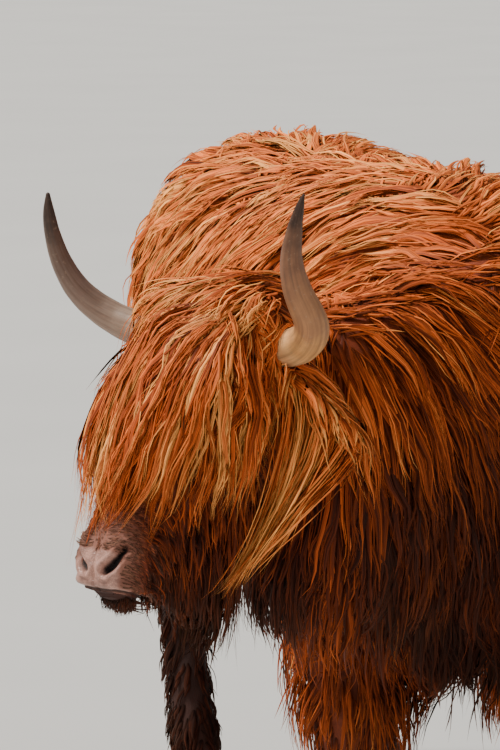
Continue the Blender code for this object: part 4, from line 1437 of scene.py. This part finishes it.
class Groom:
    """The skin's faces, by place and part, and what lays guides and locks on them.

    Each face's middle is (x, y, z) from the withers and (a, l, b) in the head's frame, so far ahead
    of the poll; upward says how much the face looks up."""

    def __init__(self, skin, owner):
        self.surface = Surface(skin.data)
        centres = self.surface.centres
        self.names = np.array(owner(centres))
        self.x, self.y, self.z = (centres - WITHERS).T
        self.a, self.l, self.b = head_coordinates(centres).T
        self.ahead = (centres - HEAD_ORIGIN) @ FACING
        self.above_mouth = centres[:, 2] - HEAD_ORIGIN[2] > mouth_height(self.ahead) + 0.003
        self.upward = self.surface.normals[:, 2]
        bare = np.empty(len(skin.data.vertices) * 4, np.float32)
        skin.data.color_attributes["Bare"].data.foreach_get("color", bare)
        pad, hole, pink = bare.reshape(-1, 4)[:, :3][self.surface.corners].mean(1).T
        self.hairy = ((np.maximum(pad, hole) < 0.15) & (pink < 0.70)).astype(float)
        self.hair = coat_material()
        self.face_hair = coat_material("face_coat", GREY_BROWN)
        self.gaps = Gaps(self.surface)
        self.rng = np.random.default_rng(COAT_SEED)

    def coat(self, unwrap):
        """A new piece of the coat."""
        return Coat(unwrap, self.rng)

    def region(self, *starts, where=1.0):
        """How much hair each face takes: where, on the hairy skin of the nodes whose names start so."""
        return np.array([name.startswith(starts) for name in self.names]) * self.hairy * where

    def guides(self, region, count, length, lie, spread=0.25, steps=7, lift=0.024, wave=0.006,
               wavelength=0.075, **grow_with):
        """Courses over the region for its locks to follow."""
        rng = self.rng
        roots, normals = self.surface.scatter(region, count, rng)
        sizes = length * rng.uniform(1 - spread, 1 + spread, count)
        course = grow(self.surface, roots, normals, sizes, steps, lie,
                      lift=lift * rng.uniform(0.4, 1.15, count), **grow_with)
        return waved(resampled(course, steps + 5), normals, wave * rng.uniform(0.5, 1.4, count),
                     wavelength * rng.uniform(0.85, 1.2, count), wave_phase(roots, rng))

    def fill(self, coat, region, guides, count, steps, wide, fine, fine_share=0.35, lighter=0.08,
             root=0.5, tone=0.46, varied=0.09, fray=0.004, least=0.002, **gather_with):
        """Broad flat locks over the region, then finer and looser strands among them."""
        rng = self.rng
        home, _ = self.surface.scatter(region, count, rng)
        tones = rng.normal(tone, varied, len(guides))
        split = int(count * (1 - fine_share))

        for homes, widths, are_fine in ((home[:split], wide, False), (home[split:], fine, True)):
            thin, loose, clear = (0.55, fray * 1.5, least * 2.2) if are_fine else (0.22, fray, least)
            many = len(homes)
            course, facing, near = gathered(self.surface, guides, homes, rng, steps, fray=loose, least=clear,
                                            **gather_with)
            self.gaps.cover(course)
            # The broad locks, held lower, are painted a little darker as shade under the fine strands; some
            # fine strands are paler hairs.
            more = np.where(rng.random(many) < 0.12, 0.16, 0.0) + lighter if are_fine else -0.04
            coat.add(course, facing, rng.uniform(*widths, many), tone=tones[near], spread=0.07, thin=thin,
                     lighter=more, root=root)


# How hair grows that hangs free of the body.
HANGING = {"gravity": 0.9, "hold": 0.7, "drop_in": 0.0}


def groom_trunk(g):
    """The back and the two sides, thickest along the spine."""
    spine = 1 + 0.6 * np.exp(-(g.x / 0.07) ** 2) * (g.z > 0.9)
    under = np.where(g.z < 0.56, 0.75, 1.0)
    region = g.region("trunk", "thigh", "foreleg", where=(g.z > 0.42) * spine * under)
    guides = g.guides(region, count=1350, length=0.155, lie=lie_on_trunk, gravity=0.05, wavelength=0.085)
    angle = np.arctan2(g.x, g.z - 0.80)
    for label, chosen, count in (("back", np.abs(angle) < 0.75, 3700), ("left", angle >= 0.75, 3050),
                                 ("right", angle <= -0.75, 3050)):
        coat = g.coat(unwrap_trunk)
        g.fill(coat, region * chosen, guides, count=count, steps=6, wide=(0.0085, 0.0150),
               fine=(0.0022, 0.0046), fine_share=0.64, clump=0.70, lighter=0.03)
        coat.made(f"coat_{label}", g.hair)


def groom_neck(g):
    """The longest hair but for the forelock."""
    behind_horns = (g.a < 0.03) * (g.b < 0.02) + (g.a < -0.05)
    region = g.region("neck", "head", where=np.where(g.names == "head", behind_horns, 1.0) * (g.z > 0.40))
    guides = g.guides(region, count=480, length=0.21, lie=lie_on_neck, steps=9, gravity=0.12, lift=0.032,
                      wave=0.0075, wavelength=0.090)
    left = aside_of_neck(g.surface.centres) > 0.0
    for label, chosen, count in (("left", left, 2800), ("right", ~left, 1650)):
        coat = g.coat(unwrap_neck)
        g.fill(coat, region * chosen, guides, count=count, steps=8, wide=(0.0075, 0.0135),
               fine=(0.0020, 0.0040), fine_share=0.65, clump=0.80, fray=0.005, horns=True)
        coat.made(f"coat_neck_{label}", g.hair)


def groom_legs(g):
    """Long at the top of the legs, short and close on the shanks."""
    for label, near in (("fore", g.y < 0.45), ("hind", g.y >= 0.45)):
        fore = label == "fore"
        coat = g.coat(unwrap_legs)
        top = g.region("foreleg", "thigh", "trunk",
                       where=(g.z < 0.52) * (g.z > 0.30) * near * (np.abs(g.x) > 0.05))
        guides = g.guides(top, count=260, length=0.160 if fore else 0.110, lie=lie_down, steps=6,
                          gravity=0.35, lift=0.044 if fore else 0.024, lean_out=0.8 if fore else 0.35,
                          wave=0.005, wavelength=0.065)
        g.fill(coat, top, guides, count=1600 if fore else 1300, steps=5, wide=(0.0045, 0.0085),
               fine=(0.0018, 0.0034), fine_share=0.5, clump=0.6, fray=0.006, tone=0.50)
        low = g.region("foreleg", "foreshank", "thigh", "shank",
                       where=(g.z < 0.36) * (g.z > 0.062) * near * np.where(g.z < 0.17, 1.7, 1.0))
        guides = g.guides(low, count=420, length=0.055, lie=lie_down, steps=5, gravity=0.18, lift=0.010,
                          wave=0.0018, wavelength=0.045)
        g.fill(coat, low, guides, count=1350, steps=5, wide=(0.0056, 0.0108), fine=(0.0020, 0.0034),
               fine_share=0.30, clump=0.45, fray=0.003)
        for locks in coat.parts:
            locks.points[..., 2] = np.maximum(locks.points[..., 2], 0.010)
        coat.made(f"coat_legs_{label}", g.hair)


def groom_face(g):
    """Short hair of the brow and cheeks, shorter still and grey-brown round the muzzle."""
    coat = g.coat(unwrap_head)
    face = g.region("head", where=(g.a > -0.05) * (g.ahead < 0.185))
    guides = g.guides(face, count=800, length=0.030, lie=lie_on_face, steps=3, gravity=0.05, lift=0.0045,
                      wave=0.0010, wavelength=0.03, drop_in=0.6)
    g.fill(coat, face, guides, count=1800, steps=3, wide=(0.0024, 0.0046), fine=(0.0010, 0.0020),
           clump=0.35, fray=0.0010, least=0.0006, lighter=0.05, root=0.8)
    muzzle = g.region("head", where=(g.ahead > 0.170) * g.above_mouth * np.where(g.ahead > 0.215, 1.4, 1.0))
    guides = g.guides(muzzle, count=700, length=0.0170, lie=lie_on_face, steps=3, gravity=0.02,
                      lift=0.0016, wave=0.0004, wavelength=0.03, drop_in=0.8, lean_out=0.15)
    g.fill(coat, muzzle, guides, count=2300, steps=3, wide=(0.0013, 0.0026), fine=(0.0007, 0.0012),
           fine_share=0.5, clump=0.10, fray=0.0006, least=0.0003, lighter=0.02, root=0.9, varied=0.04)
    for locks in coat.parts:
        on_muzzle = smoothstep(0.190, 0.250, (locks.homes - HEAD_ORIGIN) @ FACING)
        locks.marks[:, 1] = np.maximum(locks.marks[:, 1], 0.85 * on_muzzle)
    coat.made("coat_face", g.face_hair)


def groom_cheeks(g):
    """The longer hair of the cheeks, under the jaw, on the throat and on the chin."""
    coat = g.coat(unwrap_head)
    cheeks = g.region("head", where=(g.b < 0.0) * (g.a > 0.02) * (g.ahead < 0.205))
    guides = g.guides(cheeks, count=260, length=0.058, lie=lie_on_face, steps=5, gravity=0.30, lift=0.013,
                      wave=0.003, wavelength=0.045)
    g.fill(coat, cheeks, guides, count=1400, steps=6, wide=(0.0036, 0.0070), fine=(0.0013, 0.0025),
           fine_share=0.45, clump=0.6)

    under_jaw = (g.b < -0.055) * (np.abs(g.l) < 0.080) * (g.ahead < 0.140) * (g.ahead > -0.07)
    jaw = g.region("head", where=under_jaw)
    guides = g.guides(jaw, count=130, length=0.110, lie=lie_down, steps=6, lift=0.02, wave=0.005,
                      wavelength=0.06, **HANGING)
    lowest = HEAD_ORIGIN[2] - 0.452 + 0.42 * np.clip((guides - HEAD_ORIGIN) @ FACING, 0, 0.15)
    guides[:, :, 2] = np.maximum(guides[:, :, 2], lowest)
    g.fill(coat, jaw, guides, count=1000, steps=6, wide=(0.0034, 0.0064), fine=(0.0014, 0.0026), clump=0.5,
           fray=0.006)

    under_head = (g.ahead > -0.14) * (g.ahead < 0.05) * (np.abs(g.l) < 0.16)
    throat = g.region("head", "neck", where=under_head * (g.z < 0.74) * (g.upward < 0.2))
    guides = g.guides(throat, count=80, length=0.165, lie=lie_down, steps=6, lift=0.02, wavelength=0.08,
                      **HANGING)
    guides[:, :, 2] = np.maximum(guides[:, :, 2], HEAD_ORIGIN[2] - 0.47)
    g.fill(coat, throat, guides, count=560, steps=6, wide=(0.0045, 0.0085), fine=(0.0016, 0.0030),
           clump=0.6, fray=0.006, tone=0.36)

    chin = g.region("head", where=(g.b < -0.045) * (g.ahead > 0.125) * (g.upward < 0.1) * ~g.above_mouth)
    guides = g.guides(chin, count=90, length=0.018, lie=lie_down, steps=4, gravity=0.5, lift=0.010,
                      wave=0.001, wavelength=0.05, hold=0.7, lean_out=0.5, drop_in=0.0, spread=0.4)
    g.fill(coat, chin, guides, count=480, steps=6, wide=(0.0020, 0.0036), fine=(0.0009, 0.0016),
           fine_share=0.55, clump=0.3, fray=0.0025)
    coat.made("coat_cheeks", g.hair)


# Where each ear's long lock ends, from where it leaves the ear: (forwards, outwards, upwards).
FRINGE_TIPS = {"left": (0.150, -0.055, -0.262), "right": (0.105, -0.030, -0.200)}
FRINGE_STEPS = 14


def fringe_course(name):
    """The middle of the long lock that hangs from an ear."""
    side = SIDES[name]
    forward, out, up = FRINGE_TIPS[name]
    start = on_head(0.020, side * 0.095, -0.030) + HEAD_LEFT * side * 0.080 + DOWN * 0.072
    tip = start + FACING * forward + HEAD_LEFT * side * out - DOWN * up
    bends = [start * 0.66 + tip * 0.34 + DOWN * 0.035, start * 0.30 + tip * 0.70 + DOWN * 0.030]
    return resampled(np.stack([start, *bends, tip])[None], FRINGE_STEPS)


def drawn_to_fringe(guides, fringe, rng):
    """Most of the guides drawn together into the ear's long lock, the rest left short."""
    count = len(guides)
    t = np.linspace(0, 1, FRINGE_STEPS + 1)
    chosen = rng.random(count) < 0.84
    reach = np.where(chosen, rng.uniform(0.70, 1.0, count), 0.0)
    pull = (smoothstep(0.05, 0.70, t)[None, :] * reach[:, None])[..., None]
    target = resampled(np.repeat(fringe, count, 0), FRINGE_STEPS, 0.30 + 0.70 * reach ** 2)
    guides = resampled(guides, FRINGE_STEPS, np.where(chosen, 1.0, 0.62))
    target = target + rng.normal(0, 0.005, (count, 1, 3)) * (1.25 - t[:, None])
    guides = guides * (1 - pull) + target * pull
    return waved(smoothed(guides, 2), np.tile(FACING, (count, 1)), 0.004, 0.11, rng.normal(0, 0.8, count),
                 start=0.5)


def groom_ears(g):
    """Fluffy ears, each with a long hanging lock."""
    coat = g.coat(unwrap_ears)
    for name in SIDES:
        ear = g.region(f"ear_{name}")
        guides = g.guides(ear, count=110, length=0.175, lie=lie_on_ear, steps=9, lift=0.020, wave=0.004,
                          wavelength=0.08, gravity=0.40, hold=0.75, drop_in=0.05, spread=0.35)
        guides = drawn_to_fringe(guides, fringe_course(name), g.rng)
        # The ear hair's brighter tone is partly its own orange, partly painted light on ears that hang in
        # shade.
        g.fill(coat, ear, guides, count=490, steps=9, wide=(0.0036, 0.0070), fine=(0.0015, 0.0028),
               fine_share=0.60, clump=0.88, short=0.66, horns=True, lighter=0.06, tone=0.62, varied=0.13)
        guides = g.guides(ear, count=70, length=0.075, lie=lie_on_ear, steps=5, lift=0.012, wave=0.003,
                          wavelength=0.06, gravity=0.35)
        g.fill(coat, ear, guides, count=200, steps=9, wide=(0.0060, 0.0105), fine=(0.0020, 0.0034),
               clump=0.45, horns=True, tone=0.55, varied=0.10, root=0.8)
    coat.made("coat_ears", g.hair, "ear_fringe_left", "ear_fringe_right", slot="long_hair")


# The forelock's broad locks and fine strands: (widths, share of the locks, how thick, how much lighter); the
# broad locks beneath are painted a little darker, as shade under the fine ones.
FORELOCK_LAYERS = (((0.0050, 0.0095), 0.32, 0.26, -0.03), ((0.0017, 0.0038), 0.68, 0.55, 0.03))


def groom_forelock(g):
    """Locks that draw together to their tips, over a layer painted darker as the shade under them."""
    g.rng = rng = np.random.default_rng(FORELOCK_SEED)
    guides, place, depth = forelock_guides(g.surface, 190, rng)
    many = len(guides)
    _, normals, _ = g.surface.nearest(guides[:, 0])
    swing = rng.uniform(0.005, 0.0150, many) * np.where(place > 0.55, 0.6, 1.0)
    guides = waved(guides, normals, swing, rng.uniform(0.080, 0.135, many),
                   wave_phase(guides[:, 0], rng, 1.6), start=0.30)
    # The deep locks are painted dark as the shade under the forelock; the ruddy ones are the hair's own
    # darker red.
    deep = (depth > 0.12) & (place < 0.80)
    ruddy = rng.random(many) < 0.42
    tones = np.where(ruddy, rng.normal(0.25, 0.05, many), rng.normal(0.58, 0.12, many))
    tones = np.where(deep, rng.normal(0.17, 0.06, many), tones)

    def lay(coat, chosen, count):
        for widths, share, thin, lighter in FORELOCK_LAYERS:
            n = int(count * share)
            near = rng.choice(np.nonzero(chosen)[0], n)
            homes = g.surface.nearest(guides[near, 0] + rng.normal(0, 0.0095, (n, 3)))[0]
            course, facing, _ = gathered(g.surface, guides, homes, rng, 12, clump=0.91, short=0.60,
                                         fray=0.0050, near=near, horns=True)
            g.gaps.cover(course)
            width = rng.uniform(*widths, n) * np.where(deep[near], 1.25, 1.0)
            tone = tones[near] + np.where(rng.random(n) < 0.11, 0.18, 0.0)
            coat.add(course, facing, width, tone=tone, spread=0.07, thin=thin, lighter=lighter)

    coat = g.coat(unwrap_head)
    lay(coat, place < 0.46, 1560)
    course, facing = bunch(g.surface, BLOND_LOCK, 46, rng, root=0.005, middle=0.013, tip=0.002)
    coat.add(course, facing, rng.uniform(0.0024, 0.0050, 46), tone=0.95, spread=0.08)
    for lock in LOOSE_LOCKS:
        course, facing = bunch(g.surface, lock, 13, rng, root=0.010, middle=0.006, tip=0.0015)
        coat.add(course, facing, rng.uniform(0.0018, 0.0038, 13), tone=0.60, spread=0.08)
    coat.made("coat_forelock_left", g.hair, "forelock", slot="long_hair")
    coat = g.coat(unwrap_head)
    lay(coat, place >= 0.46, 1240)
    coat.made("coat_forelock_right", g.hair, slot="long_hair")


def groom_poll(g):
    """The poll's hair, which falls forward over the brow."""
    on_poll = (g.a < 0.07) * (g.a > -0.16) * (g.b > -0.01) * (g.l < 0.15) * (g.l > -0.12)
    region = g.region("head", "neck", where=on_poll * np.where(g.names == "neck", g.a > -0.11, 1.0))
    guides = g.guides(region, count=120, length=0.150, lie=lie_on_poll, gravity=0.04, lift=0.026,
                      wave=0.0045, wavelength=0.09, lean_out=0.45)
    coat = g.coat(unwrap_head)
    g.fill(coat, region, guides, count=850, steps=9, wide=(0.0050, 0.0085), fine=(0.0016, 0.0034),
           fine_share=0.62, clump=0.76, fray=0.005, horns=True, tone=0.56, varied=0.10)
    coat.made("coat_poll", g.hair)


def groom_tail(g):
    """The tail and its brush."""
    tail = g.region("tail")
    guides = g.guides(tail, count=110, length=0.11, lie=lie_down, steps=6, gravity=0.3, lift=0.010,
                      wave=0.004)
    coat = g.coat(unwrap_trunk)
    g.fill(coat, tail, guides, count=560, steps=6, wide=(0.006, 0.011), fine=(0.002, 0.004), clump=0.6)
    coat.made("coat_tail", g.hair)
    end = g.region("tail", where=g.z < 0.68)
    guides = g.guides(end, count=60, length=0.40, lie=lie_down, steps=10, gravity=0.9, lift=0.02,
                      wave=0.010, wavelength=0.10, hold=0.8, lean_out=0.5, drop_in=0.0)
    coat = g.coat(unwrap_trunk)
    g.fill(coat, end, guides, count=420, steps=10, wide=(0.005, 0.010), fine=(0.002, 0.004), clump=0.7,
           fray=0.010)
    coat.made("coat_tail_brush", g.hair, "tail_switch", slot="long_hair")


def groom_belly(g):
    """Long hair that hangs under the chest and belly, longest behind the left foreleg."""
    under_neck = (g.z < 0.70) * (g.upward < -0.05) * (g.ahead < 0.02) * 1.3
    under = g.region("trunk", "neck", "head",
                     where=(g.y < 0.70) * np.where(g.names == "trunk", g.z < 0.56, under_neck))
    behind_leg = under * (g.y > -0.05) * (g.y < 0.45) * (g.x > 0.06) * (g.z < 0.50)
    coat = g.coat(unwrap_trunk)
    for region, many, length, count, grow_with in (
            (under, 220, 0.150, 1300, {"lift": 0.015, "wave": 0.007, "wavelength": 0.08, "spread": 0.35}),
            (behind_leg, 60, 0.215, 420, {"lift": 0.012, "wave": 0.008, "wavelength": 0.09})):
        guides = g.guides(region, count=many, length=length, lie=lie_down, lean_out=0.2, **grow_with,
                          **HANGING)
        g.fill(coat, region, guides, count=count, steps=6, wide=(0.006, 0.011), fine=(0.002, 0.0040),
               fine_share=0.6, clump=0.72, fray=0.007)
    coat.made("coat_belly", g.hair)


def groom_partings(g):
    """Locks laid across the partings, over whatever skin is still in sight."""
    rng = g.rng
    near_face = smoothstep(0.02, 0.08, g.a) * (g.b > -0.10)
    share = np.where(g.names == "head", 2.0 * (1 - near_face), 1.0)
    region = g.region("trunk", "neck", "thigh", "foreleg", "head",
                      where=(g.z > 0.40) * (g.ahead < 0.12) * share)
    bald, normals = g.gaps.found(*g.surface.scatter(region, 26000, rng), reach=0.0075, most=1500)
    count = len(bald)
    astray = rng.normal(0, 0.18, count)

    def across(points, around):
        """Over the parting, back and to the left above, down and back on the sides."""
        above = smoothstep(0.45, 0.80, around[:, 2])[:, None]
        near_neck = smoothstep(-0.02, -0.18, points[:, 1] - WITHERS[1])[:, None]
        trunk, neck = lie_on_trunk(points, around), lie_on_neck(points, around)
        flow = unit(trunk * (1 - near_neck) + neck * near_neck)
        over_back, over_neck = np.array([0.60, 0.70, -0.20]), NECK_SIDE * 0.65 - NECK_HEADING * 0.55
        comb = over_back * (1 - near_neck) + over_neck * near_neck
        return turned(tangent(comb * above + flow * (1 - above), around), around, astray)

    start = bald - across(bald, normals) * rng.uniform(0.015, 0.040, (count, 1))
    roots, normals, _ = g.surface.nearest(start)
    course = grow(g.surface, roots + normals * 0.002, normals, rng.uniform(0.080, 0.120, count), 6, across,
                  gravity=0.02, lift=rng.uniform(0.006, 0.016, count), lean_out=0.15)
    course = waved(course, normals, rng.uniform(0.002, 0.005, count), rng.uniform(0.07, 0.11, count),
                   wave_phase(roots, rng))
    facing = g.surface.nearest(course[:, 1:].reshape(-1, 3))[1].reshape(count, -1, 3)
    coat = g.coat(unwrap_trunk)
    coat.add(course, facing, rng.uniform(0.0038, 0.0075, count), tone=0.50, spread=0.12, root=0.20)
    coat.made("coat_gaps", g.hair)


def make_coat(skin, owner):
    """The whole coat, region by region; the order matters to the random draws."""
    groom = Groom(skin, owner)
    for part in (groom_trunk, groom_neck, groom_legs, groom_face, groom_cheeks, groom_ears, groom_forelock,
                 groom_poll, groom_tail, groom_belly, groom_partings):
        part(groom)


# ---------------------------------------------------------------- stage

def placed(name, data, place, aim):
    """An object that holds the light or camera at the place, looking along aim."""
    holder = bpy.data.objects.new(name, data)
    holder.location = place
    holder.rotation_euler = Vector(aim).to_track_quat("-Z", "Y").to_euler()
    bpy.context.scene.collection.objects.link(holder)
    return holder


def add_sun():
    """The key: a high, broad and warm sun from the cow's right."""
    sun = bpy.data.lights.new("key", "SUN")
    sun.energy, sun.angle, sun.color = 4.9, math.radians(18), (1.0, 0.955, 0.89)
    placed("key", sun, (0, 0, 0), -Vector((-0.45, 0.26, 0.85)))


def add_fill():
    """A weak soft light from the camera's side, towards the chest."""
    fill = bpy.data.lights.new("fill", "AREA")
    fill.energy, fill.size, fill.color = 60, 4.0, (1.0, 0.97, 0.93)
    place = Vector((-4.5, -5.5, 3.2))
    chest = Vector(WITHERS + np.array([-0.2, 0.0, 0.8]))
    placed("fill", fill, place, chest - place)


def make_stage():
    """A pale floor, the two lights and a soft pale surround."""
    bm = bmesh.new()
    bmesh.ops.create_grid(bm, x_segments=4, y_segments=4, size=60.0)
    floor = new_object("floor", mesh_from(bm, "floor"), floor_material())
    add_sun()
    add_fill()
    world = bpy.data.worlds.new("studio")
    bpy.context.scene.world = world
    world.use_nodes = True
    colour, strength = world.node_tree.nodes["Background"].inputs[:2]
    colour.default_value = (0.93, 0.935, 0.95, 1.0)
    strength.default_value = 0.28


def make_camera():
    """A long lens, where the photo was taken from."""
    data = bpy.data.cameras.new("photo_angle")
    data.lens, data.sensor_width = CAMERA_LENS, 36.0
    data.clip_end = 200.0
    level = math.cos(CAMERA_DIP)
    aim = (math.sin(CAMERA_AZIMUTH) * level, math.cos(CAMERA_AZIMUTH) * level, -math.sin(CAMERA_DIP))
    bpy.context.scene.camera = placed("photo_angle", data, CAMERA_PLACE, aim)


make_camera()
make_stage()
skin = make_skin()
make_eyes()
make_horns()
make_hooves()
make_coat(skin, node_finder(FLESH))
